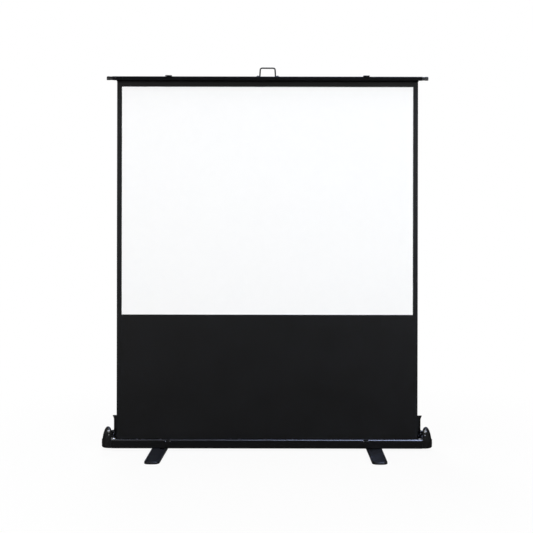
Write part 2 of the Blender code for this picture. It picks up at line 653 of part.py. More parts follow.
def make_roller():
    """Spring roller: tube, end plugs, fixed mandrel, torsion spring and the fabric's leader."""
    axis = Vector((0, ROLLER_Y, ROLLER_Z))
    bore = ROLLER_RADIUS - ROLLER_WALL
    tube = ring_profile(bore, ROLLER_RADIUS, -ROLLER_HALF, ROLLER_HALF)
    solid = turned(tube, ALONG_X, axis, ROLLER_STEPS, ring=True)
    add("roller_tube", solid, "satin_aluminium", axis)

    flange_low = ROLLER_HALF + CLEARANCE
    flange_high = flange_low + PLUG_FLANGE
    spigot = ROLLER_HALF - PLUG_SPIGOT
    inside = bore - CLEARANCE - BORE_PLAY
    outside = [(inside, spigot), (inside, flange_low)]
    outside += [(ROLLER_RADIUS, flange_low), (ROLLER_RADIUS, flange_high)]
    gudgeon_end = BRACKET_OUTER + CLEARANCE
    gudgeon = [(GUDGEON_RADIUS, flange_high), (GUDGEON_RADIUS, gudgeon_end), (0, gudgeon_end)]
    idle = [(0, spigot), *outside, *gudgeon]
    add("roller_idle_plug", turned(idle, ALONG_X, axis, ROLLER_STEPS), "black_moulded_plastic", axis)
    hole = GUDGEON_RADIUS + BORE_PLAY
    sprung = [(hole, spigot), *outside, (hole, flange_high)]
    plug = mirrored(turned(sprung, ALONG_X, axis, ROLLER_STEPS, ring=True))
    add("roller_spring_plug", plug, "black_moulded_plastic", axis)

    outer_end = -gudgeon_end
    collar_end = outer_end + MANDREL_LENGTH
    collar = collar_end - MANDREL_COLLAR
    rod = [(0, outer_end), (GUDGEON_RADIUS, outer_end), (GUDGEON_RADIUS, collar), (inside, collar),
           (inside, collar_end), (0, collar_end)]
    add("spring_mandrel", turned(rod, ALONG_X, axis), "zinc_plated_steel", axis)
    make_spring(axis, -spigot, collar)
    make_leader(axis)
    make_roller_brackets(axis)


def make_spring(axis, plug_face, collar_face):
    """Torsion spring wound round the mandrel, from the sprung plug to the mandrel's collar."""
    start = plug_face + CLEARANCE
    end = collar_face - CLEARANCE
    tail = 2 * SPRING_WIRE
    wound = end - start - 2 * tail
    steps = round(9 * SPRING_TURNS)
    points = [(start, SPRING_RADIUS, 0)]
    for step in range(steps + 1):
        angle = 2 * math.pi * SPRING_TURNS * step / steps
        along = start + tail + wound * step / steps
        points.append((along, SPRING_RADIUS * math.cos(angle), SPRING_RADIUS * math.sin(angle)))
    points.append((end, *points[-1][1:]))
    print("least gap of the spring to itself", round(least_gap(points, 5) - 2 * SPRING_WIRE, 5))
    rod("roller_spring", points, SPRING_WIRE, 1, "spring_steel", axis)


def least_gap(points, apart):
    """Least distance between points of a route that lie more than this many points apart."""
    places = [Vector(point) for point in points]
    pairs = [(a, b) for at, a in enumerate(places) for b in places[at + apart:]]
    return min((a - b).length for a, b in pairs)


def rod(name, points, radius, resolution, finish_name, origin):
    """A round rod along points, with closed ends."""
    line = bpy.data.curves.new(name, "CURVE")
    line.dimensions = "3D"
    line.bevel_depth = radius
    line.bevel_resolution = resolution
    line.use_fill_caps = True
    spline = line.splines.new("POLY")
    spline.points.add(len(points) - 1)
    for point, place in zip(spline.points, points):
        point.co = (*place, 1)
    line.materials.append(finish(finish_name))
    thing = bpy.data.objects.new(name, line)
    thing.location = origin
    bpy.context.collection.objects.link(thing)


def make_leader(axis):
    """The fabric's last turns on the roller, a spiral whose end meets the hanging sheet."""
    steps = round(ROLLER_STEPS * LEADER_TURNS)
    inner = []
    outer = []
    for step in range(steps + 1):
        turns = LEADER_TURNS * step / steps
        angle = 2 * math.pi * (turns - LEADER_TURNS)
        radius = LEADER_INNER + LEADER_PITCH * turns
        across = Vector((math.cos(angle), math.sin(angle)))
        inner.append(tuple(across * radius))
        outer.append(tuple(across * (radius + FABRIC_THICKNESS)))
    outline = outer + inner[::-1]
    spiral = moved(slab(outline, -FABRIC_HALF, FABRIC_HALF, ALONG_X), axis)
    add("fabric_leader", spiral, "black_fabric", axis)


def make_roller_brackets(axis):
    """Steel plates on the case floor that carry the roller's ends, with a tab folded out at the top."""
    low = CASE_FLOOR + CLEARANCE
    high = CASE_TOP - CASE_WALL - CLEARANCE
    front = CASE_FRONT + FRONT_LIP / 2 + RIM_RADIUS / 2
    back = ROLLER_Y + ROLLER_RADIUS + RIM_RADIUS
    corners = [(front, low, 0), (back, low, 0), (back, high, RIM_RADIUS), (front, high, RIM_RADIUS)]
    fold = box((front + RIM_RADIUS, high - BRACKET_THICKNESS), (back - RIM_RADIUS, high))
    hole = circle(axis.y, axis.z, GUDGEON_RADIUS + BORE_PLAY)
    for name, side in sides():
        plate = slab(rounded(corners), BRACKET_INNER, BRACKET_OUTER, ALONG_X, [hole])
        tab = slab(fold, (BRACKET_INNER + BRACKET_OUTER) / 2, BRACKET_OUTER + BRACKET_TAB, ALONG_X)
        if side < 0:
            plate = mirrored(plate)
            tab = mirrored(tab)
        bracket = add("roller_bracket_" + name, plate, "zinc_plated_steel")
        combine(bracket, tab, "UNION")


def make_fabric():
    """Black sheet from the roller to the bar, with the white viewing field on its front."""
    low = ROLLER_Z + CLEARANCE
    high = BAR_BOTTOM + GROOVE_LIP
    sheet = slab(box((-FABRIC_HALF, low), (FABRIC_HALF, high)), FABRIC_FRONT, FABRIC_BACK, ALONG_Y)
    add("black_fabric_sheet", sheet, "black_fabric")
    back = FABRIC_FRONT - CLEARANCE
    corners = box((-FIELD_WIDTH / 2, FIELD_BOTTOM), (FIELD_WIDTH / 2, FIELD_TOP))
    add("white_viewing_field", slab(corners, back - FIELD_THICKNESS, back, ALONG_Y), "matt_white_fabric")


def bar_outline():
    """Section of the bar: front skirt, fabric groove and the channel that takes the folded arms."""
    lip = BAR_BOTTOM + GROOVE_LIP
    slot_front = FABRIC_MIDDLE - FABRIC_SLOT / 2
    slot_back = FABRIC_MIDDLE + FABRIC_SLOT / 2
    return rounded([
        (BAR_FRONT, BAR_BOTTOM, 0),
        (BAR_FRONT, BAR_TOP, BAR_ROUNDING),
        (BAR_BACK, BAR_TOP, BAR_ROUNDING),
        (BAR_BACK, BAR_BOTTOM, 0),
        (CHANNEL_BACK, BAR_BOTTOM, 0),
        (CHANNEL_BACK, BAR_ROOF, BAR_INNER_ROUNDING),
        (CHANNEL_FRONT, BAR_ROOF, 0),
        (CHANNEL_FRONT, BAR_BOTTOM, 0),
        (slot_back, BAR_BOTTOM, 0),
        (slot_back, lip, 0),
        (GROOVE_BACK, lip, 0),
        (GROOVE_BACK, BAR_ROOF, 0),
        (GROOVE_FRONT, BAR_ROOF, 0),
        (GROOVE_FRONT, lip, 0),
        (slot_front, lip, 0),
        (slot_front, BAR_BOTTOM, 0),
        (GROOVE_FRONT - BAR_WALL, BAR_BOTTOM, 0),
        (GROOVE_FRONT - BAR_WALL, BAR_ROOF, 0),
        (BAR_FRONT + BAR_WALL, BAR_ROOF, BAR_INNER_ROUNDING),
        (BAR_FRONT + BAR_WALL, BAR_BOTTOM, 0),
    ])


def make_bar(pivot):
    """Extruded top bar, its moulded ends and the batten that holds the fabric."""
    solid = slab(bar_outline(), -BAR_HALF, BAR_HALF, ALONG_X)
    bar = add("top_bar", solid, "black_coated_aluminium", pivot)
    slope = END_CUT_RISE / (BAR_BACK - BAR_FRONT - END_CUT_FRONT)
    below = BAR_BOTTOM - END_TRIM
    behind = BAR_BACK + END_TRIM
    start = BAR_FRONT + END_CUT_FRONT - END_TRIM / slope
    wedge = [(start, below), (behind, below), (behind, BAR_BOTTOM + END_CUT_RISE + END_TRIM * slope)]
    for _, side in sides():
        cut = slab(wedge, FABRIC_HALF + 2 * CLEARANCE, BAR_HALF + END_TRIM, ALONG_X)
        if side < 0:
            cut = mirrored(cut)
        combine(bar, cut, "DIFFERENCE")

    make_bar_ends(pivot)
    seat = BAR_BOTTOM + GROOVE_LIP + CLEARANCE
    half = BATTEN_WIDTH / 2
    corners = box((FABRIC_MIDDLE - half, seat), (FABRIC_MIDDLE + half, seat + BATTEN_HEIGHT))
    outline = rounded([(u, v, BATTEN_HEIGHT / 4) for u, v in corners])
    add("fabric_batten", slab(outline, -FABRIC_HALF, FABRIC_HALF, ALONG_X), "satin_aluminium", pivot)


def make_bar_ends(pivot):
    """End plates of the bar, each with a waisted tongue that drops behind the case's horn."""
    inner = BAR_HALF + CLEARANCE
    plate = inner + END_PLATE
    root = inner + END_PLATE / 2
    tip = plate + TONGUE_LENGTH
    knob = tip - TONGUE_KNOB
    half = TONGUE_HEIGHT / 2
    neck = half - TONGUE_WAIST
    upper = [(tip, half, 0.9 * half), (knob, half, TONGUE_EDGE)]
    upper += [(knob - TONGUE_EDGE, neck, TONGUE_EDGE), (root, neck, 0)]
    lower = [(u, -v, radius) for u, v, radius in reversed(upper)]
    outline = [(u, TONGUE_MIDDLE + v) for u, v in rounded(lower + upper)]
    back = BAR_BACK - END_TRIM
    top = BAR_TOP - END_TRIM
    face = rounded([
        (BAR_FRONT + END_TRIM, BAR_BOTTOM + END_TRIM, TONGUE_EDGE),
        (BAR_FRONT + END_CUT_FRONT, BAR_BOTTOM + END_TRIM, END_CUT_ROUNDING),
        (back, BAR_BOTTOM + END_CUT_RISE, END_CUT_ROUNDING),
        (back, top, END_CUT_ROUNDING),
        (BAR_FRONT + END_TRIM, top, TONGUE_EDGE),
    ])
    for name, side in sides():
        tongue = slab(outline, TONGUE_FRONT, TONGUE_BACK, ALONG_Y)
        rim = [edge for edge in tongue.edges if abs(edge.verts[0].co.y - edge.verts[1].co.y) < MERGE]
        tongue = bevelled(tongue, rim, 0.6 * TONGUE_EDGE, 2)
        end = slab(face, inner, plate, ALONG_X)
        if side < 0:
            tongue = mirrored(tongue)
            end = mirrored(end)
        thing = add("bar_end_" + name, end, "black_moulded_plastic", pivot)
        combine(thing, tongue, "UNION")


def pin(start, stop, collar=None, tail=None, rear_head=False):
    """Profile of a pivot pin along Y: a head, a shank, and a collar and tail or a second head."""
    profile = [(0, start - PIN_HEAD_THICKNESS), (PIN_HEAD, start - PIN_HEAD_THICKNESS), (PIN_HEAD, start),
               (PIN_RADIUS, start), (PIN_RADIUS, stop)]
    if collar:
        profile += [(PIN_COLLAR, stop), (PIN_COLLAR, collar)]
        profile += [(PIN_RADIUS, collar), (PIN_RADIUS, tail), (0, tail)]
    if rear_head:
        profile += [(PIN_HEAD, stop), (PIN_HEAD, stop + PIN_HEAD_THICKNESS), (0, stop + PIN_HEAD_THICKNESS)]
    return profile


def make_pin(name, profile, place, origin):
    """A pivot pin at a place, carried by the body whose joint is at origin."""
    centre = (place.x, 0, place.z)
    add(name, turned(profile, ALONG_Y, centre), "zinc_plated_steel", origin)


def make_washer(name, place, origin):
    """Friction washer between a front arm and a rear arm."""
    low = FRONT_ARM_BACK + CLEARANCE
    hole = PIN_RADIUS + BORE_PLAY
    ring = ring_profile(hole, WASHER_RADIUS, low, low + WASHER_THICKNESS)
    add(name, turned(ring, ALONG_Y, (place.x, 0, place.z), ring=True), "nylon", origin)


def make_arm(name, origin, turn, front, play, reach):
    """Flat arm with round ends and three pivot holes, drawn along X from its first pivot."""
    half = ARM_WIDTH / 2
    start = -reach
    end = ARM_LENGTH - reach
    corners = box((start - half, -half), (end + half, half))
    outline = rounded([(u, v, half) for u, v in corners], 2 * ARC_STEPS)
    holes = [circle(x, 0, PIN_RADIUS + extra) for x, extra in zip((start, (start + end) / 2, end), play)]
    solid = slab(outline, front, front + ARM_THICKNESS, ALONG_Y, holes)
    add(name, moved(solid, origin), "black_coated_aluminium", origin, turn)


def make_scissor(places):
    """Four arms in two planes, with their pins and friction washers."""
    flat = (BORE_PLAY, BORE_PLAY, BORE_PLAY)
    half = ARM_LENGTH / 2
    make_arm("lower_front_arm", places["lower_pivot"], -RAISED_ANGLE, FRONT_ARM, flat, 0)
    make_arm("lower_rear_arm", places["lower_centre"], RAISED_ANGLE, REAR_ARM, flat, half)
    make_arm("upper_rear_arm", places["right_joint"], RAISED_ANGLE, REAR_ARM, flat, ARM_LENGTH)
    open_end = (OPEN_PIVOT_PLAY, BORE_PLAY, BORE_PLAY)
    make_arm("upper_front_arm", places["upper_centre"], -RAISED_ANGLE, FRONT_ARM, open_end, half)

    through = pin(FRONT_ARM - CLEARANCE, REAR_ARM_BACK + CLEARANCE, rear_head=True)
    carriers = {
        "lower_centre": "lower_pivot",
        "right_joint": "lower_pivot",
        "upper_centre": "right_joint",
        "left_joint": "lower_centre",
    }
    for joint, carrier in carriers.items():
        make_pin(joint + "_rivet", through, places[joint], places[carrier])
        make_washer(joint + "_washer", places[joint], places[carrier])


def rail_section(z):
    """Section of a slide rail, open to the front, round the height of its slider."""
    low = z - RAIL_HEIGHT / 2
    high = z + RAIL_HEIGHT / 2
    return [
        (RAIL_FRONT, low), (RAIL_BACK, low), (RAIL_BACK, high), (RAIL_FRONT, high),
        (RAIL_FRONT, high - RAIL_WALL), (RAIL_WEB, high - RAIL_WALL), (RAIL_WEB, low + RAIL_WALL),
        (RAIL_FRONT, low + RAIL_WALL),
    ]


def make_slides(places):
    """Rails, sliders and fixed pivot blocks at the foot and the head of the scissor."""
    bar = places["upper_pivot"]
    case = Vector((0, 0, 0))
    start = SLIDER_X - RAIL_MARGIN
    slider_front = RAIL_FRONT + SLIDER_FRONT_GAP
    slider_back = RAIL_WEB - CLEARANCE
    slider_half = RAIL_HEIGHT / 2 - RAIL_WALL - CLEARANCE
    long_stop = FRONT_ARM_BACK + CLEARANCE
    short_stop = REAR_ARM_BACK + CLEARANCE
    block_collar = RAIL_FRONT - CLEARANCE
    block_tail = RAIL_WEB
    slider_collar = slider_front - CLEARANCE
    front_start = FRONT_ARM - CLEARANCE
    rear_start = REAR_ARM - CLEARANCE
    rows = (
        ("lower", case, places["lower_slider"], places["lower_pivot"],
         pin(rear_start, short_stop, slider_collar, slider_back),
         pin(front_start, long_stop, block_collar, block_tail)),
        ("upper", bar, places["upper_slider"], bar,
         pin(front_start, long_stop, slider_collar, slider_back),
         pin(rear_start, short_stop, block_collar, block_tail)),
    )
    for name, carrier, slider, fixed, slider_pin, fixed_pin in rows:
        rail = slab(rail_section(slider.z), start, RAIL_END, ALONG_X)
        add(name + "_slide_rail", rail, "zinc_plated_steel", carrier)
        hole = circle(slider.x, slider.z, PIN_RADIUS + BORE_PLAY)
        corners = box((slider.x - SLIDER_LENGTH / 2, slider.z - slider_half),
                      (slider.x + SLIDER_LENGTH / 2, slider.z + slider_half))
        outline = rounded([(u, v, RAIL_WALL) for u, v in corners], 2)
        add(name + "_slider", slab(outline, slider_front, slider_back, ALONG_Y, [hole]), "nylon", slider)
        make_pin(name + "_slider_pin", slider_pin, slider, slider)
        hole = circle(fixed.x, fixed.z, PIN_RADIUS + BORE_PLAY)
        corners = box((fixed.x - PIVOT_BLOCK_LENGTH / 2, fixed.z - RAIL_HEIGHT / 2),
                      (fixed.x + PIVOT_BLOCK_LENGTH / 2, fixed.z + RAIL_HEIGHT / 2))
        outline = rounded([(u, v, RAIL_WALL) for u, v in corners], 2)
        block = slab(outline, RAIL_FRONT, RAIL_BACK, ALONG_Y, [hole])
        add(name + "_pivot_block", block, "zinc_plated_steel", carrier)
        make_pin(name + "_pivot_pin", fixed_pin, fixed, carrier)


def make_handle(pivot):
    """Wire carrying handle in two clips on top of the bar."""
    axis_z = BAR_TOP + HANDLE_AXIS_RISE
    clip_start = HANDLE_BASE / 2 + CLIP_GAP
    clip_end = clip_start + CLIP_LENGTH
    tail = clip_end + CLIP_TAIL
    base = HANDLE_BASE / 2
    top = HANDLE_TOP / 2
    route = rounded([
        (-tail, 0, 0), (-base, 0, HANDLE_FOOT_BEND), (-top, HANDLE_RISE, HANDLE_CORNER),
        (top, HANDLE_RISE, HANDLE_CORNER), (base, 0, HANDLE_FOOT_BEND), (tail, 0, 0),
    ])
    points = [(x, 0, z) for x, z in route]
    rod("carry_handle", points, HANDLE_ROD, 2, "dark_grey_rod", (0, HANDLE_Y, axis_z))
    seat = BAR_TOP + CLEARANCE
    outline = rounded([
        (HANDLE_Y - CLIP_WIDTH / 2, seat, 0), (HANDLE_Y + CLIP_WIDTH / 2, seat, 0),
        (HANDLE_Y + CLIP_HEAD, axis_z + CLIP_HEAD, CLIP_HEAD * 0.9),
        (HANDLE_Y - CLIP_HEAD, axis_z + CLIP_HEAD, CLIP_HEAD * 0.9),
    ])
    hole = circle(HANDLE_Y, axis_z, HANDLE_ROD + BORE_PLAY)
    for name, side in sides():
        clip = slab(outline, clip_start, clip_end, ALONG_X, [hole])
        if side < 0:
            clip = mirrored(clip)
        add("handle_clip_" + name, clip, "black_moulded_plastic", pivot)


def make_latches(pivot):
    """Hasps that lie back on the bar and swing over its front to catches on the case."""
    axis_y = BAR_FRONT - LATCH_REACH
    axis_z = BAR_TOP + LATCH_RISE
    inner = HASP_WIDTH / 2 + HASP_SIDE_PLAY
    outer = inner + KNUCKLE_LENGTH
    seat = BAR_TOP + CLEARANCE
    plate_back = BAR_FRONT + BAR_ROUNDING + LATCH_PLATE_DEPTH
    plate_top = seat + LATCH_PLATE_THICKNESS
    knuckle = [math.pi / 2 + math.pi * step / (2 * ARC_STEPS) for step in range(2 * ARC_STEPS + 1)]
    nose = [(axis_y + KNUCKLE_RADIUS * math.cos(a), axis_z + KNUCKLE_RADIUS * math.sin(a)) for a in knuckle]
    ear = [(plate_back, seat), (plate_back, plate_top), *nose]
    plate = box((BAR_FRONT + BAR_ROUNDING, seat), (plate_back, plate_top))
    hinge = ring_profile(0, HASP_PIN, -inner - KNUCKLE_LENGTH / 2, inner + KNUCKLE_LENGTH / 2)
    bore = HASP_PIN + BORE_PLAY
    barrel = ring_profile(bore, HASP_BARREL, -HASP_WIDTH / 2, HASP_WIDTH / 2)
    strap_start = axis_y + (bore + HASP_BARREL) / 2
    strap_end = axis_y + HASP_LENGTH
    window_start = axis_y + HASP_WINDOW_START
    for name, side in sides():
        x = side * LATCH_X
        knuckles = slab(ear, x - outer, x - inner, ALONG_X)
        base = add("latch_base_" + name, knuckles, "black_powder_coated_steel", pivot)
        combine(base, slab(ear, x + inner, x + outer, ALONG_X), "UNION")
        combine(base, slab(plate, x - outer + HASP_SIDE_PLAY, x + outer - HASP_SIDE_PLAY, ALONG_X), "UNION")
        combine(base, turned(hinge, ALONG_X, (x, axis_y, axis_z), 12), "UNION")

        corners = rounded([
            (x - HASP_WIDTH / 2, strap_start, 0), (x + HASP_WIDTH / 2, strap_start, 0),
            (x + HASP_WIDTH / 2, strap_end, 0.005), (x - HASP_WIDTH / 2, strap_end, 0.005),
        ])
        half = HASP_WINDOW_WIDTH / 2
        window = box((x - half, window_start), (x + half, window_start + HASP_WINDOW_LENGTH))
        strap = slab(corners, axis_z - HASP_THICKNESS / 2, axis_z + HASP_THICKNESS / 2, ALONG_Z, [window])
        origin = Vector((x, axis_y, axis_z))
        hasp = add("latch_hasp_" + name, strap, "black_powder_coated_steel", origin)
        combine(hasp, turned(barrel, ALONG_X, origin, 12, ring=True), "UNION")
        make_catch(name, x, axis_z)


def make_catch(name, x, axis_z):
    """Catch on the case front, whose nose stands in the hasp's window when the bar is lowered."""
    lowered = axis_z - BAR_BOTTOM + CASE_TOP + CLOSED_GAP
    middle = lowered - HASP_WINDOW_START - HASP_WINDOW_LENGTH / 2
    back = CASE_FRONT - CLEARANCE
    face = back - CATCH_PLATE_THICKNESS
    across = CATCH_PLATE_WIDTH / 2
    corners = box((x - across, middle - CATCH_PLATE_DROP), (x + across, CASE_TOP - CLEARANCE))
    outline = rounded([(u, v, CASE_WALL) for u, v in corners], 2)
    catch = add("latch_catch_" + name, slab(outline, face, back, ALONG_Y), "black_powder_coated_steel")
    tip = back - CATCH_NOSE_REACH
    root = (face + back) / 2
    high = middle + CATCH_NOSE_HEIGHT / 2
    low = middle - CATCH_NOSE_HEIGHT / 2
    across = CATCH_NOSE_WIDTH / 2
    nose = [(tip, high), (root, high), (root, low), ((tip + face) / 2, low)]
    combine(catch, slab(nose, x - across, x + across, ALONG_X), "UNION")


def joint_places():
    """Where the scissor's pivots lie with the screen raised."""
    middle_x = (PIVOT_X + SLIDER_X) / 2
    return {
        "lower_pivot": Vector((PIVOT_X, 0, LOWER_PIVOT_Z)),
        "lower_slider": Vector((SLIDER_X, 0, LOWER_PIVOT_Z)),
        "lower_centre": Vector((middle_x, 0, LOWER_PIVOT_Z + LIFT / 4)),
        "left_joint": Vector((PIVOT_X, 0, MIDDLE_Z)),
        "right_joint": Vector((SLIDER_X, 0, MIDDLE_Z)),
        "upper_centre": Vector((middle_x, 0, MIDDLE_Z + LIFT / 4)),
        "upper_pivot": Vector((PIVOT_X, 0, UPPER_PIVOT_Z)),
        "upper_slider": Vector((SLIDER_X, 0, UPPER_PIVOT_Z)),
    }


def main():
    """Build every piece."""
    clear_scene()
    places = joint_places()
    make_case()
    make_end_caps()
    make_guides()
    make_feet()
    make_roller()
    make_fabric()
    make_bar(places["upper_pivot"])
    make_scissor(places)
    make_slides(places)
    make_handle(places["upper_pivot"])
    make_latches(places["upper_pivot"])
    print("arm length", round(ARM_LENGTH, 5), "fold", round(math.degrees(RAISED_ANGLE - CLOSED_ANGLE), 3))


main()
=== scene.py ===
"""Cloth, finishes, small fasteners, camera and studio for a pull-up projection screen.

Metres, +Z up, and the front faces -Y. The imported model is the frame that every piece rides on.
"""

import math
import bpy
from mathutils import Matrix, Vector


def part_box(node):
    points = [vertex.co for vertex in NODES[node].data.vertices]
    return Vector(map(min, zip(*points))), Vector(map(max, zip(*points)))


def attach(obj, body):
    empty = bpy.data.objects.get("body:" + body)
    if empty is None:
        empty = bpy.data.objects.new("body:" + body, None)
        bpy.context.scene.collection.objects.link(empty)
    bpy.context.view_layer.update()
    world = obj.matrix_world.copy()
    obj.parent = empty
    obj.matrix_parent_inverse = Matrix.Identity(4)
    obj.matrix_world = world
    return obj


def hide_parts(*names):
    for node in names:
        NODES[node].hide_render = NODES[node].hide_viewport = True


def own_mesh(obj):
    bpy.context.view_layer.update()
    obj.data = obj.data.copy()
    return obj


bl_info = {
    "name": "Pull-up Projection Screen",
    "version": (1, 0, 0),
    "blender": (4, 5, 0),
    "location": "View3D > Sidebar > Screen",
    "description": "Cloth, finishes, small fasteners and studio of a pull-up projection screen",
    "category": "Object",
}

import bmesh
import bpy
from bpy.props import FloatProperty, FloatVectorProperty, IntProperty, PointerProperty
from mathutils import Matrix, Vector, noise

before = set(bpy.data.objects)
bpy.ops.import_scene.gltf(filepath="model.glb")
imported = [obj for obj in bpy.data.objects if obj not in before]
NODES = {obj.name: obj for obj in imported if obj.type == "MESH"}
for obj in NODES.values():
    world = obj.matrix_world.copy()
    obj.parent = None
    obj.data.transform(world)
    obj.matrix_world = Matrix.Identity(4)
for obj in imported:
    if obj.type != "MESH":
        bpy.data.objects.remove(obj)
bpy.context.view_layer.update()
SHEET_LOW, SHEET_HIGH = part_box("black_fabric_sheet")
FIELD_LOW, FIELD_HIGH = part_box("white_viewing_field")
TUBE_LOW, TUBE_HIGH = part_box("roller_tube")
BAR_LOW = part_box("top_bar")[0]
SIDES = (("left", -1), ("right", 1))

# Steps of the meshes, and the angle from which an edge stays sharp.
CLOTH_COLUMNS = 70
CLOTH_ROWS = 96
FIELD_ROWS = 60
LEADER_COLUMNS = 12
CORNER_STEPS = 5
TIP_STEPS = 5
DOME_STEPS = 24
PAN_STEPS = 32
SHARP_ANGLE = math.radians(50)

# The cloth: run of a hem's fold, gap under the leader, and stitches beside their line.
HEM_FOLD = 0.0006
LEADER_GAP = 0.0006
STITCH_HALF = 0.00025
STITCH_FADE = 0.00060

# Slow waves of the hanging cloth, which grow away from its ends, and the curl of its upright edges.
WAVE_FROM_ROLLER = 0.30
WAVE_FROM_BAR = 0.35
WAVE_ACROSS = 2.1
WAVE_UP = 0.35
WAVE_SEED = 3.7
CURL_START = 0.68
CURL_REACH = 0.20
CURL_UP = 4.6
CURL_PHASE = 0.9
CURL_SHARE = 0.7

# The bar ends' tongues: cut of the end plate, root inside it, run of the swell and turn of the tip.
PLATE_MARGIN = 0.0002
TONGUE_ROOT = 0.0028
SWELL_RUN = 0.004
TIP_TURN = 0.45 * math.pi

# A fastener's head in shares of its radius and height, and the cross recess of a pan head.
HEAD_RINGS = ((1.0, -0.12), (1.0, 0.22), (0.95, 0.52), (0.82, 0.80), (0.62, 0.95))
CROSS_RINGS = ((1.0, 1.0), (0.80, 0.42))
CROSS_REACH = 0.52
CROSS_HALF = 0.15
CROSS_FLOOR = 0.36

# Where the lines start that find the fasteners' seats.
AHEAD = -0.2
BESIDE = 1.2
ABOVE_CASE = 0.2
ABOVE_BAR = 2.3
BELOW = -0.5

# Places of the fasteners, with X from the middle, or from the latch's middle for a spread.
# The horn rivet and pin are grey discs set where the horn's highlight falls: partly real rivets, partly
# a painted highlight.
HORN_RIVET_X, HORN_RIVET_Z = 0.912, 0.1160
HORN_PIN_X, HORN_PIN_Z = 0.911, 0.0945
# The bracket screw sits on the tab where a glint shows; its near-white plate paints that glint.
BRACKET_SCREW_X, BRACKET_SCREW_Y = 0.8885, -0.030
CAP_SCREW_Y, CAP_SCREW_Z = 0.030, 0.044
GUIDE_SCREW_X, GUIDE_SCREW_LOW, GUIDE_SCREW_HIGH = 0.9010, 0.0800, 0.0915
FRONT_END_SCREW_Y, FRONT_END_SCREW_Z = -0.0465, 2.1520
REAR_END_SCREW_Y, REAR_END_SCREW_Z = 0.0120, 2.1560
LATCH_SPREAD, LATCH_RIVET_Y = 0.0142, -0.0430
CATCH_SPREAD, CATCH_RIVET_Z = 0.0123, 0.0589
CATCH_RIVET_SHARE = 0.8
FLOOR_RIVETS_X = (-0.465, -0.435, 0.290, 0.480, 0.740, 0.870)
FLOOR_RIVET_Y = 0.0274

# Heights of the heads.
HORN_RIVET_HEIGHT = 0.0018
HORN_PIN_HEIGHT = 0.0016
BRACKET_SCREW_HEIGHT = 0.0026
SCREW_HEIGHT = 0.0020
END_SCREW_HEIGHT = 0.0018
LATCH_RIVET_HEIGHT = 0.0011
CATCH_RIVET_HEIGHT = 0.0009
FLOOR_RIVET_HEIGHT = 0.0011

# The finishes: grain of a plate, pitch of drawn lines and rounding of edges in the shading.
PLATE_GRAIN = 0.0012
COAT_LINES = 0.0007
METAL_LINES = 0.0005
COAT_ROUNDING = 0.0007
EDGE_ROUNDING = 0.0004
METAL_DEPTH = 0.00002
BEVEL_SAMPLES = 4

# Finishes of plates, rivets and screws: the setting with their colour, roughness and how metallic.
PLATES = {
    "zinc_plate": ("zinc", 0.34, 1.0),
    # Near-white plate of the roller brackets: real zinc, made pale to paint a glint.
    "white_zinc_plate": ("white_zinc", 0.30, 0.35),
    # Grey of the horn rivets: partly rivet, partly a painted highlight of the horns.
    "dulled_rivet": ("painted_highlight_grey", 0.55, 0.3),
    "blacked_screw": ("bare", 0.5, 0.2),
}

# The studio: the sensor, the floor, and the lamps' places and tints.
SENSOR_WIDTH = 36.0
FLOOR_REACH = 60.0
CLEAR_START = 0.45
NEAR_WHITE = 0.92
KEY_PLACE = (3.2, -5.6, 2.4)
FILL_PLACE = (-3.7, -5.5, 2.1)
TOP_PLACE = (0.2, -1.8, 5.6)
BACK_PLACE = (-1.5, 5.5, 4.0)
KEY_TINT = (0.95, 0.975, 1.0)
FILL_TINT = (1.0, 0.99, 0.98)
PLAIN_TINT = (1.0, 1.0, 1.0)

# What reflections see, by the way that they look: a bluer strip at the right, the ceiling and the back.
STRIP_NEAR = (-0.008, 0.14)
STRIP_FAR = (0.36, 0.56)
CEILING_RISE = (0.62, 0.86)
BACK_TURN = (0.05, 0.35)
ROOM_TONE = (0.08, 0.08, 0.08, 1)
ROOM_STRIP = (0.14, 0.165, 0.215, 1)
CEILING_TONE = (1.3, 1.3, 1.3, 1)
CEILING_STRIP = (29.0, 34.0, 52.0, 1)
BACK_TONE = (0.6, 0.6, 0.6, 1)
WHITE = (1, 1, 1, 1)


def colour(label, text, default):
    """A colour that a user may change."""
    limits = {"subtype": "COLOR", "min": 0, "max": 1}
    return FloatVectorProperty(name=label, description=text, default=default, **limits)


def length(label, text, default):
    """A length that a user may change, in metres."""
    return FloatProperty(name=label, description=text, default=default, unit="LENGTH", precision=5)


def share(label, text, default):
    """A share from nought to one that a user may change."""
    limits = {"subtype": "FACTOR", "min": 0, "max": 1}
    return FloatProperty(name=label, description=text, default=default, **limits)


def number(label, text, default):
    """A plain number that a user may change."""
    return FloatProperty(name=label, description=text, default=default)


class ClothSettings(bpy.types.PropertyGroup):
    """The hanging cloth, its white field and the turns left on the roller."""

    black: colour("Black cloth", "Matt black coating of the cloth", (0.0047, 0.0047, 0.0047))
    white: colour("White field", "Matt white viewing surface", (0.93, 0.93, 0.93))
    hem: length("Hem", "Width of the doubled hem along each upright edge", 0.014)
    hem_step: length("Hem step", "How far the doubled hem stands out at the back", 0.0004)
    stitch: length("Stitch", "Pitch of the hem's stitches", 0.0034)
    thread: length("Thread", "Pitch of the weave", 0.0011)
    wave: length("Wave", "Depth of the slow waves in the hanging cloth", 0.0009)
    leader_turns: number("Leader turns", "Turns left on the roller", 2.5)
    leader_steps: IntProperty(
        name="Leader steps", description="Flats in one turn of the leader", default=56)


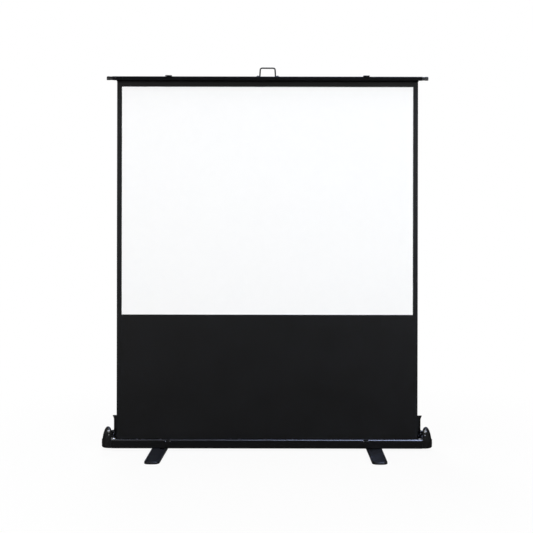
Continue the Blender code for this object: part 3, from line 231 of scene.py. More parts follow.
class BarEndSettings(bpy.types.PropertyGroup):
    """The tongue at each end of the bar."""

    tongue: length("Tongue", "Length of the tongue beyond the end plate", 0.0357)
    cad_tongue: length("Plain tongue", "Length of the plain tongue that it stands for", 0.0392)
    inset: length("Inset", "Front of the tongue, behind the front of the bar", 0.0200)
    depth: length("Depth", "Depth of the tongue from front to back", 0.0180)
    knob: length("Knob", "Length of the thicker tip", 0.0170)
    swell: length("Swell", "How far the tip stands out above and below the neck", 0.0008)
    rise: length("Rise", "Lower front edge of the neck, above the bar's underside", 0.0034)
    crown: length("Crown", "How far the tongue stands above the end plate", 0.0027)
    slope: number("Slope", "Rise of the underside towards the back", 0.175)
    corner: length("Corner", "Rounding of the tongue's long edges", 0.0026)
    tip: length("Tip", "Rounding of the tongue's tip", 0.0055)


class FinishSettings(bpy.types.PropertyGroup):
    """Colours of the rigid pieces."""

    coat: colour("Coated aluminium", "Black coat of case, bar and arms", (0.0034, 0.0034, 0.0036))
    moulding: colour("Moulded plastic", "Black caps, guides and clips", (0.0036, 0.0036, 0.0037))
    powder: colour("Powder coat", "Dark coat of feet and latches", (0.0078, 0.0082, 0.0092))
    bare: colour("Rubbed edge", "Paler tone of a coat rubbed thin", (0.055, 0.056, 0.060))
    zinc: colour("Zinc plate", "Bright plated steel", (0.56, 0.57, 0.59))
    # Near-white zinc: real plate, made pale to paint the bracket tabs' glint.
    white_zinc: colour("White zinc", "Paler plate of the roller brackets", (0.86, 0.87, 0.89))
    # Grey of the horn rivets, which paints the horns' highlight.
    painted_highlight_grey: colour("Dull rivet", "Dulled rivets of the horns", (0.235, 0.235, 0.23))
    aluminium: colour("Bare aluminium", "Satin tube and batten", (0.62, 0.63, 0.65))
    spring: colour("Spring steel", "Oiled spring wire", (0.26, 0.26, 0.28))
    nylon: colour("Nylon", "Sliders, washers and swivel discs", (0.72, 0.71, 0.66))
    rubber: colour("Rubber", "Pads under the feet", (0.012, 0.012, 0.012))
    rod: colour("Handle rod", "Coated wire of the carrying handle", (0.0040, 0.0042, 0.0046))
    dust: colour("Dust", "Fine dust on upward faces", (0.20, 0.20, 0.20))


class FastenerSettings(bpy.types.PropertyGroup):
    """Rivets and screws that hold the pieces together."""

    # The horn rivet and pin are grey discs that also paint the horns' highlight.
    horn_rivet: length("Horn rivet", "Radius of the upper rivet in each horn", 0.0078)
    horn_pin_highlight: length("Horn pin", "Radius of the small rivet below it", 0.0032)
    screw: length("Screw", "Radius of a pan-head screw", 0.0036)
    latch_rivet: length("Latch rivet", "Radius of the latch rivets", 0.0022)
    floor_rivet: length("Floor rivet", "Radius of the rivets under the case", 0.0042)


class StageSettings(bpy.types.PropertyGroup):
    """Camera, floor and lamps."""

    camera: FloatVectorProperty(
        name="Camera", description="Place of the camera", default=(0.10, -5.0, 1.2387),
        subtype="XYZ", unit="LENGTH")
    lens: number("Lens", "Focal length in millimetres", 57.92)
    shift: FloatVectorProperty(
        name="Shift", description="Shift of the frame", default=(-0.0339, -0.0563), size=2)
    roll: FloatProperty(
        name="Roll", description="Turn of the camera about its view",
        default=math.radians(0.10), subtype="ANGLE")
    floor: colour("Floor", "Plain pale floor", (0.92, 0.92, 0.92))
    bounce: share("Bounce", "Share of its light that the floor sends back to the screen", 0.18)
    clear: length("Clear", "How far from the middle the floor turns plain white", 2.6)
    ambient: number("Ambient", "Even light from all round", 0.42)
    key: number("Key", "Watts of the lamp at the front right", 219)
    fill: number("Fill", "Watts of the lamp at the front left", 187)
    top: number("Top", "Watts of the lamp overhead", 10)
    back: number("Back", "Watts of the lamp behind", 220)


def smooth(value):
    """Nought to one with level ends."""
    value = min(1.0, max(0.0, value))
    return value * value * (3 - 2 * value)


def spread(start, stop, count):
    """Even steps from start to stop."""
    return [start + (stop - start) * step / count for step in range(count + 1)]


def new_piece(name, mesh, material, body):
    """Makes an object of a mesh, with a finish, that rides on a body."""
    data = bpy.data.meshes.new(name)
    bmesh.ops.recalc_face_normals(mesh, faces=mesh.faces)
    mesh.to_mesh(data)
    mesh.free()
    data.shade_smooth()
    data.set_sharp_from_angle(angle=SHARP_ANGLE)
    data.materials.append(material)
    thing = bpy.data.objects.new(name, data)
    bpy.context.scene.collection.objects.link(thing)
    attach(thing, body)
    return thing


def thin_sheet(near, far):
    """Closed thin sheet between two grids of points."""
    mesh = bmesh.new()
    front = [[mesh.verts.new(point) for point in row] for row in near]
    back = [[mesh.verts.new(point) for point in row] for row in far]
    rows = len(front)
    columns = len(front[0])
    for grid in (front, back):
        for r in range(rows - 1):
            for c in range(columns - 1):
                mesh.faces.new((grid[r][c], grid[r][c + 1], grid[r + 1][c + 1], grid[r + 1][c]))
    rim = [(0, c) for c in range(columns)]
    rim += [(r, columns - 1) for r in range(1, rows)]
    rim += [(rows - 1, c) for c in range(columns - 2, -1, -1)]
    rim += [(r, 0) for r in range(rows - 2, 0, -1)]
    for (r, c), (s, d) in zip(rim, rim[1:] + rim[:1]):
        mesh.faces.new((front[r][c], front[s][d], back[s][d], back[r][c]))
    return mesh


def tongue_ring(x, low, high, corner, slope):
    """Rounded section of a tongue across X, whose underside rises towards the back."""
    points = []
    corners = ((high.y, high.z), (low.y, high.z), (low.y, low.z), (high.y, low.z))
    for quarter, (y, z) in enumerate(corners):
        centre_y = y + math.copysign(corner, (low.y + high.y) / 2 - y)
        centre_z = z + math.copysign(corner, (low.z + high.z) / 2 - z)
        for step in range(CORNER_STEPS + 1):
            angle = math.pi / 2 * (quarter + step / CORNER_STEPS)
            place_y = centre_y + corner * math.cos(angle)
            place = Vector((x, place_y, centre_z + corner * math.sin(angle)))
            place.z += slope * (place.y - low.y) * (high.z - place.z) / (high.z - low.z)
            points.append(place)
    return points


def add_loft(mesh, rings):
    """Closed solid through rings of points."""
    loops = [[mesh.verts.new(point) for point in ring] for ring in rings]
    for near, far in zip(loops, loops[1:]):
        for step in range(len(near)):
            other = (step + 1) % len(near)
            mesh.faces.new((near[step], near[other], far[other], far[step]))
    mesh.faces.new(loops[0][::-1])
    mesh.faces.new(loops[-1])


def surface(node, start, direction):
    """Place and outward normal where a line from start first meets a node or a piece."""
    carrier = NODES.get(node) or bpy.data.objects[node]
    if node not in NODES:
        bpy.context.view_layer.update()
    found, place, normal, _ = carrier.ray_cast(Vector(start), Vector(direction))
    if not found:
        raise RuntimeError("no surface of " + node + " on the line")
    return place, normal


def cross_radius(angle, reach, half):
    """Radius of a plus-shaped outline at an angle."""
    c = max(abs(math.cos(angle)), 1e-6)
    s = max(abs(math.sin(angle)), 1e-6)
    return max(min(reach / c, half / s), min(reach / s, half / c))


def add_head(mesh, place, normal, radius, height, recessed):
    """A fastener's head on a surface: a dome, or a pan head with a cross recess."""
    turn = Matrix.Translation(place) @ normal.to_track_quat("Z", "Y").to_matrix().to_4x4()
    steps = PAN_STEPS if recessed else DOME_STEPS
    angles = [2 * math.pi * step / steps for step in range(steps)]
    outlines = [[(radius * r, height * h) for _ in angles] for r, h in HEAD_RINGS]
    centre = height
    if recessed:
        for scale, level in CROSS_RINGS:
            cross = [cross_radius(a, CROSS_REACH * radius, CROSS_HALF * radius) for a in angles]
            outlines.append([(scale * r, height * level) for r in cross])
        centre = CROSS_FLOOR * height
    loops = []
    for outline in outlines:
        ways = zip(angles, outline)
        points = [Vector((r * math.cos(a), r * math.sin(a), h)) for a, (r, h) in ways]
        loops.append([mesh.verts.new(turn @ point) for point in points])
    for lower, upper in zip(loops, loops[1:]):
        for step in range(steps):
            other = (step + 1) % steps
            mesh.faces.new((lower[step], lower[other], upper[other], upper[step]))
    tip = mesh.verts.new(turn @ Vector((0, 0, centre)))
    for step in range(steps):
        mesh.faces.new((loops[-1][step], loops[-1][(step + 1) % steps], tip))
    mesh.faces.new(loops[0][::-1])


def place_node(tree, kind, values=None, **settings):
    """Adds a node, with values or links for its inputs."""
    node = tree.nodes.new(kind)
    for key, value in settings.items():
        setattr(node, key, value)
    for socket, value in (values or {}).items():
        if isinstance(value, bpy.types.NodeSocket):
            tree.links.new(value, node.inputs[socket])
        else:
            node.inputs[socket].default_value = value
    return node


def sums(tree, operation, *values):
    """Output of a Math node."""
    values = dict(enumerate(values))
    return place_node(tree, "ShaderNodeMath", values, operation=operation).outputs[0]


def ranged(tree, value, low, high, new_low=0.0, new_high=1.0):
    """A value moved from one range into another, kept inside it."""
    values = {"Value": value, "From Min": low, "From Max": high}
    values.update({"To Min": new_low, "To Max": new_high})
    return place_node(tree, "ShaderNodeMapRange", values).outputs["Result"]


def mixed(tree, factor, first, second):
    """A colour between two, by a factor."""
    values = {0: factor, 6: first, 7: second}
    return place_node(tree, "ShaderNodeMix", values, data_type="RGBA").outputs[2]


def rgba(value, level=1.0):
    """A colour with its alpha, made darker or paler."""
    return (value[0] * level, value[1] * level, value[2] * level, 1.0)


def own_place(tree):
    """Place on the piece, in its own metres."""
    return place_node(tree, "ShaderNodeTexCoord").outputs["Object"]


def parted(tree, vector):
    """X, Y and Z of a vector."""
    return place_node(tree, "ShaderNodeSeparateXYZ", {"Vector": vector}).outputs


def speckle(tree, place, scale, detail, roughness=0.5):
    """Soft noise."""
    values = {"Vector": place, "Scale": scale, "Detail": detail, "Roughness": roughness}
    return place_node(tree, "ShaderNodeTexNoise", values).outputs["Fac"]


def new_group(name, inputs, outputs):
    """An empty node group, with its input and output nodes."""
    group = bpy.data.node_groups.new(name, "ShaderNodeTree")
    add_socket = group.interface.new_socket
    for label, default in inputs:
        socket = add_socket(label, in_out="INPUT", socket_type="NodeSocketFloat")
        socket.default_value = default
    for label in outputs:
        add_socket(label, in_out="OUTPUT", socket_type="NodeSocketFloat")
    start = group.nodes.new("NodeGroupInput").outputs
    end = group.nodes.new("NodeGroupOutput").inputs
    return group, start, end


def grain_group():
    """Fine uneven skin of a coat or a moulding, and a slow drift of tone."""
    tree, start, end = new_group("Skin grain", [("Size", 0.001)], ["Height", "Tone"])
    place = own_place(tree)
    fine = sums(tree, "DIVIDE", 1.0, start["Size"])
    slow = sums(tree, "MULTIPLY", fine, 0.02)
    skin = speckle(tree, place, fine, detail=2.5, roughness=0.55)
    tree.links.new(skin, end["Height"])
    tone = speckle(tree, place, slow, detail=3.0, roughness=0.6)
    tree.links.new(ranged(tree, tone, 0.3, 0.7), end["Tone"])
    return tree


def lines_group():
    """Long fine lines that drawing or extruding leaves, along X or turned about Y."""
    tree, start, end = new_group("Drawn lines", [("Size", 0.0006), ("Turn", 0.0)], ["Height"])
    values = {"Vector": own_place(tree), "Angle": start["Turn"]}
    turned = place_node(tree, "ShaderNodeVectorRotate", values, rotation_type="Y_AXIS").outputs[0]
    split = parted(tree, turned)
    fine = sums(tree, "DIVIDE", 1.0, start["Size"])
    joined = {"X": sums(tree, "MULTIPLY", split["X"], 3.0)}
    joined["Y"] = sums(tree, "MULTIPLY", split["Y"], fine)
    joined["Z"] = sums(tree, "MULTIPLY", split["Z"], fine)
    along = place_node(tree, "ShaderNodeCombineXYZ", joined).outputs[0]
    tree.links.new(speckle(tree, along, scale=1.0, detail=2.0), end["Height"])
    return tree


def weave_group():
    """Plain weave of threads along X and Z."""
    tree, start, end = new_group("Plain weave", [("Thread", 0.001)], ["Height"])
    split = parted(tree, own_place(tree))
    pitch = sums(tree, "DIVIDE", math.pi, start["Thread"])
    across = sums(tree, "SINE", sums(tree, "MULTIPLY", split["X"], pitch))
    upright = sums(tree, "SINE", sums(tree, "MULTIPLY", split["Z"], pitch))
    over = sums(tree, "SIGN", sums(tree, "MULTIPLY", across, upright))
    under = sums(tree, "SUBTRACT", 1.0, over)
    over = sums(tree, "ADD", 1.0, over)
    warp = sums(tree, "MULTIPLY", sums(tree, "MULTIPLY", across, across), over)
    weft = sums(tree, "MULTIPLY", sums(tree, "MULTIPLY", upright, upright), under)
    tree.links.new(sums(tree, "MULTIPLY", 0.5, sums(tree, "ADD", warp, weft)), end["Height"])
    return tree


def stitch_group():
    """A row of stitches along each upright edge of the cloth."""
    tree, start, end = new_group("Hem stitches", [("Line", 0.8), ("Pitch", 0.0034)], ["Mask"])
    split = parted(tree, own_place(tree))
    away = sums(tree, "SUBTRACT", sums(tree, "ABSOLUTE", split["X"]), start["Line"])
    beside = ranged(tree, sums(tree, "ABSOLUTE", away), STITCH_HALF, STITCH_FADE, 1.0, 0.0)
    step = sums(tree, "FRACT", sums(tree, "DIVIDE", split["Z"], start["Pitch"]))
    middle = sums(tree, "ABSOLUTE", sums(tree, "SUBTRACT", step, 0.5))
    along = ranged(tree, middle, 0.30, 0.42, 1.0, 0.0)
    tree.links.new(sums(tree, "MULTIPLY", beside, along), end["Mask"])
    return tree


def rub_group():
    """Broken wear along edges, found where a rounded normal leaves the true one."""
    tree, start, end = new_group("Rubbed edges", [("Width", 0.001)], ["Mask"])
    values = {"Radius": start["Width"]}
    rounded = place_node(tree, "ShaderNodeBevel", values, samples=BEVEL_SAMPLES).outputs[0]
    true = place_node(tree, "ShaderNodeNewGeometry").outputs["Normal"]
    values = {0: rounded, 1: true}
    alike = place_node(tree, "ShaderNodeVectorMath", values, operation="DOT_PRODUCT")
    edge = ranged(tree, alike.outputs["Value"], 0.99, 0.82)
    patch = speckle(tree, own_place(tree), scale=55.0, detail=4.0, roughness=0.65)
    broken = ranged(tree, patch, 0.46, 0.66)
    tree.links.new(sums(tree, "MULTIPLY", edge, broken), end["Mask"])
    return tree


def dust_group():
    """Thin uneven dust on faces that look up."""
    tree, start, end = new_group("Settled dust", [("Amount", 0.05)], ["Mask"])
    normal = place_node(tree, "ShaderNodeNewGeometry").outputs["Normal"]
    upward = ranged(tree, parted(tree, normal)["Z"], 0.6, 1.0)
    patch = speckle(tree, own_place(tree), scale=28.0, detail=6.0, roughness=0.7)
    uneven = ranged(tree, patch, 0.35, 0.75)
    fall = sums(tree, "MULTIPLY", upward, uneven)
    tree.links.new(sums(tree, "MULTIPLY", fall, start["Amount"]), end["Mask"])
    return tree


MAKERS = {
    "Skin grain": grain_group,
    "Drawn lines": lines_group,
    "Plain weave": weave_group,
    "Hem stitches": stitch_group,
    "Rubbed edges": rub_group,
    "Settled dust": dust_group,
}


def effect(tree, name, **values):
    """Places a shared effect, which is built at its first use."""
    group = bpy.data.node_groups.get(name) or MAKERS[name]()
    return place_node(tree, "ShaderNodeGroup", values, node_tree=group).outputs


def new_finish(name, **values):
    """A material with a Principled shader, whose plain values are set on its sockets."""
    material = bpy.data.materials.new(name)
    material.use_nodes = True
    shader = material.node_tree.nodes["Principled BSDF"]
    for socket, value in values.items():
        shader.inputs[socket.replace("_", " ")].default_value = value
    return material, material.node_tree, shader


def made_once(make):
    """Makes a named finish at its first use, and hands out the same one after that."""
    def finish(name, *values, **settings):
        return bpy.data.materials.get(name) or make(name, *values, **settings)
    return finish


def raised(tree, shader, height, depth, rounding=0.0):
    """Bumps the shader's normal, over rounded edges where a rounding is given."""
    values = {"Height": height, "Distance": depth, "Strength": 1.0}
    if rounding:
        edge = {"Radius": rounding}
        rounded = place_node(tree, "ShaderNodeBevel", edge, samples=BEVEL_SAMPLES)
        values["Normal"] = rounded.outputs[0]
    tree.links.new(place_node(tree, "ShaderNodeBump", values).outputs[0], shader.inputs["Normal"])


def dress(tree, shader, tone, rough):
    """Links the shader's colour and roughness."""
    tree.links.new(tone, shader.inputs["Base Color"])
    tree.links.new(rough, shader.inputs["Roughness"])


def grained(tree, skin, lines, pitch):
    """Height of a skin, with drawn lines over it where they have a turn."""
    if lines is None:
        return skin["Height"]
    drawn = effect(tree, "Drawn lines", Size=pitch, Turn=lines)["Height"]
    return sums(tree, "ADD", skin["Height"], drawn)


@made_once
def coat_finish(name, base, gloss, size, depth, lines=None, edge=0.0012, dust=0.03,
                specular=0.32, wear=0.55, sway=0.05):
    """Black coat on metal or a black moulding: grain, drawn lines, rubbed edges and a little dust."""
    tones = bpy.context.scene.screen_finishes
    material, tree, shader = new_finish(name, Specular_IOR_Level=specular)
    skin = effect(tree, "Skin grain", Size=size)
    drift = mixed(tree, skin["Tone"], rgba(base, 0.88), rgba(base, 1.12))
    rub = effect(tree, "Rubbed edges", Width=edge)["Mask"]
    worn = mixed(tree, sums(tree, "MULTIPLY", rub, wear), drift, rgba(tones.bare))
    fall = effect(tree, "Settled dust", Amount=dust)["Mask"]
    dusted = mixed(tree, fall, worn, rgba(tones.dust))
    rough = ranged(tree, skin["Tone"], 0.0, 1.0, gloss - sway, gloss + sway)
    dress(tree, shader, dusted, sums(tree, "ADD", rough, sums(tree, "MULTIPLY", fall, 2.0)))
    raised(tree, shader, grained(tree, skin, lines, COAT_LINES), depth, COAT_ROUNDING)
    return material


@made_once
def metal_finish(name, base, gloss, size, lines=None, metallic=1.0):
    """Bare or plated metal: spangle or drawn lines, with uneven gloss."""
    material, tree, shader = new_finish(name, Metallic=metallic)
    skin = effect(tree, "Skin grain", Size=size)
    values = {"Vector": own_place(tree), "Scale": 420.0}
    cell = place_node(tree, "ShaderNodeTexVoronoi", values).outputs["Color"]
    grey = place_node(tree, "ShaderNodeSeparateColor", {0: cell}).outputs[0]
    tone = sums(tree, "MULTIPLY", skin["Tone"], 0.5)
    spangle = sums(tree, "MULTIPLY_ADD", grey, 0.5, tone)
    drift = mixed(tree, spangle, rgba(base, 0.84), rgba(base, 1.12))
    dress(tree, shader, drift, ranged(tree, spangle, 0.0, 1.0, gloss - 0.08, gloss + 0.08))
    raised(tree, shader, grained(tree, skin, lines, METAL_LINES), METAL_DEPTH, EDGE_ROUNDING)
    return material


@made_once
def plain_moulding(name, base, gloss, size, depth, specular):
    """Nylon or rubber: a slow drift of tone over a fine skin."""
    material, tree, shader = new_finish(name, Specular_IOR_Level=specular)
    skin = effect(tree, "Skin grain", Size=size)
    drift = mixed(tree, skin["Tone"], rgba(base, 0.92), rgba(base, 1.05))
    dress(tree, shader, drift, ranged(tree, skin["Tone"], 0.0, 1.0, gloss - 0.06, gloss + 0.06))
    raised(tree, shader, skin["Height"], depth, EDGE_ROUNDING)
    return material


@made_once
def black_cloth_finish(name):
    """Matt black coated cloth: weave, hem stitches and a slow drift of tone."""
    cloth = bpy.context.scene.screen_cloth
    material, tree, shader = new_finish(name, Specular_IOR_Level=0.11)
    weave = effect(tree, "Plain weave", Thread=cloth.thread)["Height"]
    skin = effect(tree, "Skin grain", Size=0.004)
    line = SHEET_HIGH.x - 0.75 * cloth.hem
    stitch = effect(tree, "Hem stitches", Line=line, Pitch=cloth.stitch)["Mask"]
    ground = mixed(tree, weave, rgba(cloth.black, 0.82), rgba(cloth.black, 1.16))
    slow = sums(tree, "MULTIPLY", skin["Tone"], 0.35)
    drift = mixed(tree, slow, ground, rgba(cloth.black, 1.25))
    sewn = mixed(tree, stitch, drift, rgba(cloth.black, 2.2))
    dress(tree, shader, sewn, ranged(tree, skin["Tone"], 0.0, 1.0, 0.42, 0.52))
    threads = sums(tree, "MULTIPLY", weave, 0.5)
    height = sums(tree, "ADD", threads, sums(tree, "MULTIPLY", stitch, 1.5))
    raised(tree, shader, height, depth=0.00010)
    return material


@made_once
def white_cloth_finish(name):
    """Matt white viewing surface with a fine pressed grain."""
    cloth = bpy.context.scene.screen_cloth
    material, tree, shader = new_finish(name, Specular_IOR_Level=0.15)
    skin = effect(tree, "Skin grain", Size=0.0009)
    weave = effect(tree, "Plain weave", Thread=0.8 * cloth.thread)["Height"]
    drift = mixed(tree, skin["Tone"], rgba(cloth.white, 0.996), rgba(cloth.white, 1.004))
    dress(tree, shader, drift, ranged(tree, skin["Height"], 0.0, 1.0, 0.78, 0.90))
    height = sums(tree, "ADD", skin["Height"], sums(tree, "MULTIPLY", weave, 0.4))
    raised(tree, shader, height, depth=0.00003)
    return material


def finish_nodes(material, *names):
    """Gives CAD nodes a finish."""
    for name in names:
        slots = NODES[name].material_slots
        if not slots:
            NODES[name].data.materials.append(material)
        for slot in slots:
            slot.material = material


def pair(stem):
    """Left and right names of a node."""
    return stem + "_left", stem + "_right"


def pairs(*stems):
    """Left and right names of several nodes."""
    return [name for stem in stems for name in pair(stem)]


def coated(turn=0.0, name="satin_black_coat", gloss=0.24, specular=0.30, depth=0.000018, **worn):
    """Black coat over drawn lines that run along X, or turned about Y."""
    base = bpy.context.scene.screen_finishes.coat
    return coat_finish(
        name, base, gloss, size=0.0012, depth=depth, lines=turn, specular=specular, **worn)


def moulded():
    """Black moulded plastic."""
    base = bpy.context.scene.screen_finishes.moulding
    return coat_finish(
        "black_moulding", base, gloss=0.34, size=0.0009, depth=0.000022, edge=0.0016, specular=0.22)


def powdered():
    """Dark powder coat with its orange-peel skin."""
    base = bpy.context.scene.screen_finishes.powder
    return coat_finish(
        "dark_powder_coat", base, gloss=0.31, size=0.0016, depth=0.00006, edge=0.0016, specular=0.10)


def plated(name="zinc_plate"):
    """Plated steel, near-white plate that paints a glint, grey heads that paint a highlight, or blacked
    steel, by its finish's name.
    """
    tone, gloss, metallic = PLATES[name]
    base = getattr(bpy.context.scene.screen_finishes, tone)
    return metal_finish(name, base, gloss, PLATE_GRAIN, metallic=metallic)


def nylon():
    """Natural nylon."""
    base = bpy.context.scene.screen_finishes.nylon
    return plain_moulding(
        "natural_nylon", base, gloss=0.48, size=0.0015, depth=0.00003, specular=0.5)


def cloth_depth(x, z):
    """How far the hanging cloth leaves its plane: slow waves that die out at roller and bar."""
    cloth = bpy.context.scene.screen_cloth
    ends = smooth((z - SHEET_LOW.z) / WAVE_FROM_ROLLER) * smooth((SHEET_HIGH.z - z) / WAVE_FROM_BAR)
    slow = noise.noise(Vector((WAVE_ACROSS * x, WAVE_UP * z, WAVE_SEED)))
    swing = math.sin(CURL_UP * z + math.copysign(CURL_PHASE, x))
    edge = smooth((abs(x) - CURL_START) / CURL_REACH) * swing
    return cloth.wave * ends * (slow + CURL_SHARE * edge)


def hung(front, columns, rows):
    """Points of a hanging sheet's front face, row by row."""
    return [[Vector((x, front + cloth_depth(x, z), z)) for x in columns] for z in rows]


class PULLSCREEN_OT_black_cloth(bpy.types.Operator):
    """Hangs the black cloth from the bar to the roller, with a doubled hem at each upright edge"""

    bl_idname = "pullscreen.black_cloth"
    bl_label = "Black Cloth"

    def execute(self, context):
        cloth = context.scene.screen_cloth
        half = SHEET_HIGH.x
        inner = half - cloth.hem
        hem = [inner, inner + HEM_FOLD, half - HEM_FOLD, half]
        between = spread(-inner, inner, CLOTH_COLUMNS)[1:-1]
        columns = [-x for x in reversed(hem)] + between + hem
        near = hung(SHEET_LOW.y, columns, spread(SHEET_LOW.z, SHEET_HIGH.z, CLOTH_ROWS))
        thick = SHEET_HIGH.y - SHEET_LOW.y
        far = []
        for row in near:
            doubled = [inner + HEM_FOLD / 2 < abs(p.x) < half - HEM_FOLD / 2 for p in row]
            steps = [thick + (cloth.hem_step if turned else 0.0) for turned in doubled]
            far.append([point + Vector((0, step, 0)) for point, step in zip(row, steps)])
        finish = black_cloth_finish("black_coated_cloth")
        piece = new_piece("black_cloth", thin_sheet(near, far), finish, "case")
        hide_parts("black_fabric_sheet")
        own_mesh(piece)
        return {"FINISHED"}


class PULLSCREEN_OT_white_field(bpy.types.Operator):
    """Lays the white viewing field on the front of the black cloth"""

    bl_idname = "pullscreen.white_field"
    bl_label = "White Field"

    def execute(self, context):
        half = FIELD_HIGH.x
        columns = spread(-half, half, CLOTH_COLUMNS)
        near = hung(FIELD_LOW.y, columns, spread(FIELD_LOW.z, FIELD_HIGH.z, FIELD_ROWS))
        thick = FIELD_HIGH.y - FIELD_LOW.y
        far = [[point + Vector((0, thick, 0)) for point in row] for row in near]
        finish = white_cloth_finish("matt_white_cloth")
        piece = new_piece("white_field", thin_sheet(near, far), finish, "case")
        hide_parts("white_viewing_field")
        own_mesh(piece)
        return {"FINISHED"}


class PULLSCREEN_OT_leader(bpy.types.Operator):
    """Winds the cloth's last turns on the roller, up to where the hanging cloth leaves it"""

    bl_idname = "pullscreen.leader"
    bl_label = "Leader On The Roller"

    def execute(self, context):
        cloth = context.scene.screen_cloth
        axis = (TUBE_LOW + TUBE_HIGH) / 2
        thick = SHEET_HIGH.y - SHEET_LOW.y
        outer = SHEET_LOW.y - axis.y
        inner = (TUBE_HIGH.z - TUBE_LOW.z) / 2 + LEADER_GAP
        turns = cloth.leader_turns
        columns = spread(-SHEET_HIGH.x, SHEET_HIGH.x, LEADER_COLUMNS)
        near = []
        far = []
        for part in spread(0.0, 1.0, round(cloth.leader_steps * turns)):
            angle = 2 * math.pi * turns * (part - 1)
            radius = inner + (outer - inner) * part
            out = Vector((0, math.cos(angle), math.sin(angle)))
            lift = [Vector((x, axis.y, axis.z)) for x in columns]
            near.append([place + out * (radius + thick) for place in lift])
            far.append([place + out * radius for place in lift])
        finish = black_cloth_finish("black_coated_cloth")
        piece = new_piece("leader_turns", thin_sheet(near, far), finish, "roller")
        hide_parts("fabric_leader")
        return {"FINISHED"}


class PULLSCREEN_OT_case_and_bar(bpy.types.Operator):
    """Finishes the case and the bar, which are black extrusions, the case satin and the bar matt"""

    bl_idname = "pullscreen.case_and_bar"
    bl_label = "Case And Bar"

    def execute(self, context):
        finish_nodes(coated(depth=0.000005, wear=0.06, sway=0.01), "case_trough")
        finish_nodes(coated(name="matt_black_coat", gloss=0.50, specular=0.03), "top_bar")
        return {"FINISHED"}


class PULLSCREEN_OT_mouldings(bpy.types.Operator):
    """Finishes the moulded end caps, guides, handle clips and roller plugs"""

    bl_idname = "pullscreen.mouldings"
    bl_label = "Mouldings"

    def execute(self, context):
        finish_nodes(moulded(), *pairs("end_cap", "bar_guide", "handle_clip"))
        finish_nodes(moulded(), "roller_idle_plug", "roller_spring_plug")
        return {"FINISHED"}


class PULLSCREEN_OT_bar_ends(bpy.types.Operator):
    """Makes the bar's end plates, each with the tongue that drops behind the case's horn"""

    bl_idname = "pullscreen.bar_ends"
    bl_label = "Bar Ends"

    def execute(self, context):
        sizes = context.scene.screen_bar_ends
        for name, side in SIDES:
            node = "bar_end_" + name
            mesh = bmesh.new()
            mesh.from_mesh(NODES[node].data)
            face = max(abs(corner.x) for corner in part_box(node)) - sizes.cad_tongue
            self.cut_plate(mesh, side, face + PLATE_MARGIN)
            add_loft(mesh, self.tongue(sizes, side, face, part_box(node)[1].z))
            title = "bar_end_piece_" + name
            piece = new_piece(title, mesh, moulded(), "top_bar")
            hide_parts(node)
        return {"FINISHED"}

    def cut_plate(self, mesh, side, reach):
        """Keeps the end plate alone."""
        parts = mesh.verts[:] + mesh.edges[:] + mesh.faces[:]
        across = {"plane_co": (side * reach, 0, 0), "plane_no": (side, 0, 0), "clear_outer": True}
        cut = bmesh.ops.bisect_plane(mesh, geom=parts, **across)["geom_cut"]
        edges = [edge for edge in cut if isinstance(edge, bmesh.types.BMEdge)]
        bmesh.ops.edgeloop_fill(mesh, edges=edges)

    def tongue(self, sizes, side, face, top):
        """Rings of the tongue from inside the plate to its rounded tip."""
        low = Vector((0, BAR_LOW.y + sizes.inset, BAR_LOW.z + sizes.rise))
        high = Vector((0, low.y + sizes.depth, top + sizes.crown))
        start = sizes.tongue - sizes.knob
        full = sizes.tongue - sizes.tip
        stations = [(-TONGUE_ROOT, 0.0, 0.0), (0.3 * start, 0.0, 0.0), (0.7 * start, 0.0, 0.0)]
        stations.append((start, 0.8 * sizes.swell, 0.0))
        stations += [(start + SWELL_RUN, sizes.swell, 0.0), (full, sizes.swell, 0.0)]
        for step in range(1, TIP_STEPS + 1):
            angle = TIP_TURN * step / TIP_STEPS
            shrink = sizes.tip * (1 - math.cos(angle))
            stations.append((full + sizes.tip * math.sin(angle), sizes.swell, shrink))
        rings = []
        for along, swell, shrink in stations:
            less = Vector((0, shrink, shrink - swell))
            corner = sizes.corner - 0.2 * shrink
            x = side * (face + along)
            rings.append(tongue_ring(x, low + less, high - less, corner, sizes.slope))
        return rings


class PULLSCREEN_OT_feet(bpy.types.Operator):
    """Finishes the swivel feet with their rubber pads, nylon discs and bolts"""

    bl_idname = "pullscreen.feet"
    bl_label = "Feet"

    def execute(self, context):
        finish_nodes(powdered(), *pair("foot"))
        base = context.scene.screen_finishes.rubber
        rubber = plain_moulding(
            "black_rubber_pad", base, gloss=0.78, size=0.0018, depth=0.00008, specular=0.3)
        for end in ("_front", "_rear"):
            finish_nodes(rubber, *[name + end for name in pair("foot_pad")])
        finish_nodes(nylon(), *pair("foot_disc"))
        finish_nodes(plated(), *pair("foot_bolt"))
        return {"FINISHED"}


class PULLSCREEN_OT_scissor(bpy.types.Operator):
    """Finishes the scissor arms, their rivets and washers, and the slides at both ends"""

    bl_idname = "pullscreen.scissor"
    bl_label = "Scissor Lift"

    def execute(self, context):
        low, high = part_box("lower_front_arm")
        slope = math.atan2(high.z - low.z, high.x - low.x)
        finish_nodes(coated(slope, "arm_coat_rising"), "lower_front_arm", "upper_rear_arm")
        finish_nodes(coated(-slope, "arm_coat_falling"), "lower_rear_arm", "upper_front_arm")
        for joint in ("left_joint", "right_joint", "lower_centre", "upper_centre"):
            finish_nodes(plated(), joint + "_rivet")
            finish_nodes(nylon(), joint + "_washer")
        for level in ("lower_", "upper_"):
            finish_nodes(nylon(), level + "slider")
            for end in ("slide_rail", "pivot_block", "pivot_pin", "slider_pin"):
                finish_nodes(plated(), level + end)
        return {"FINISHED"}


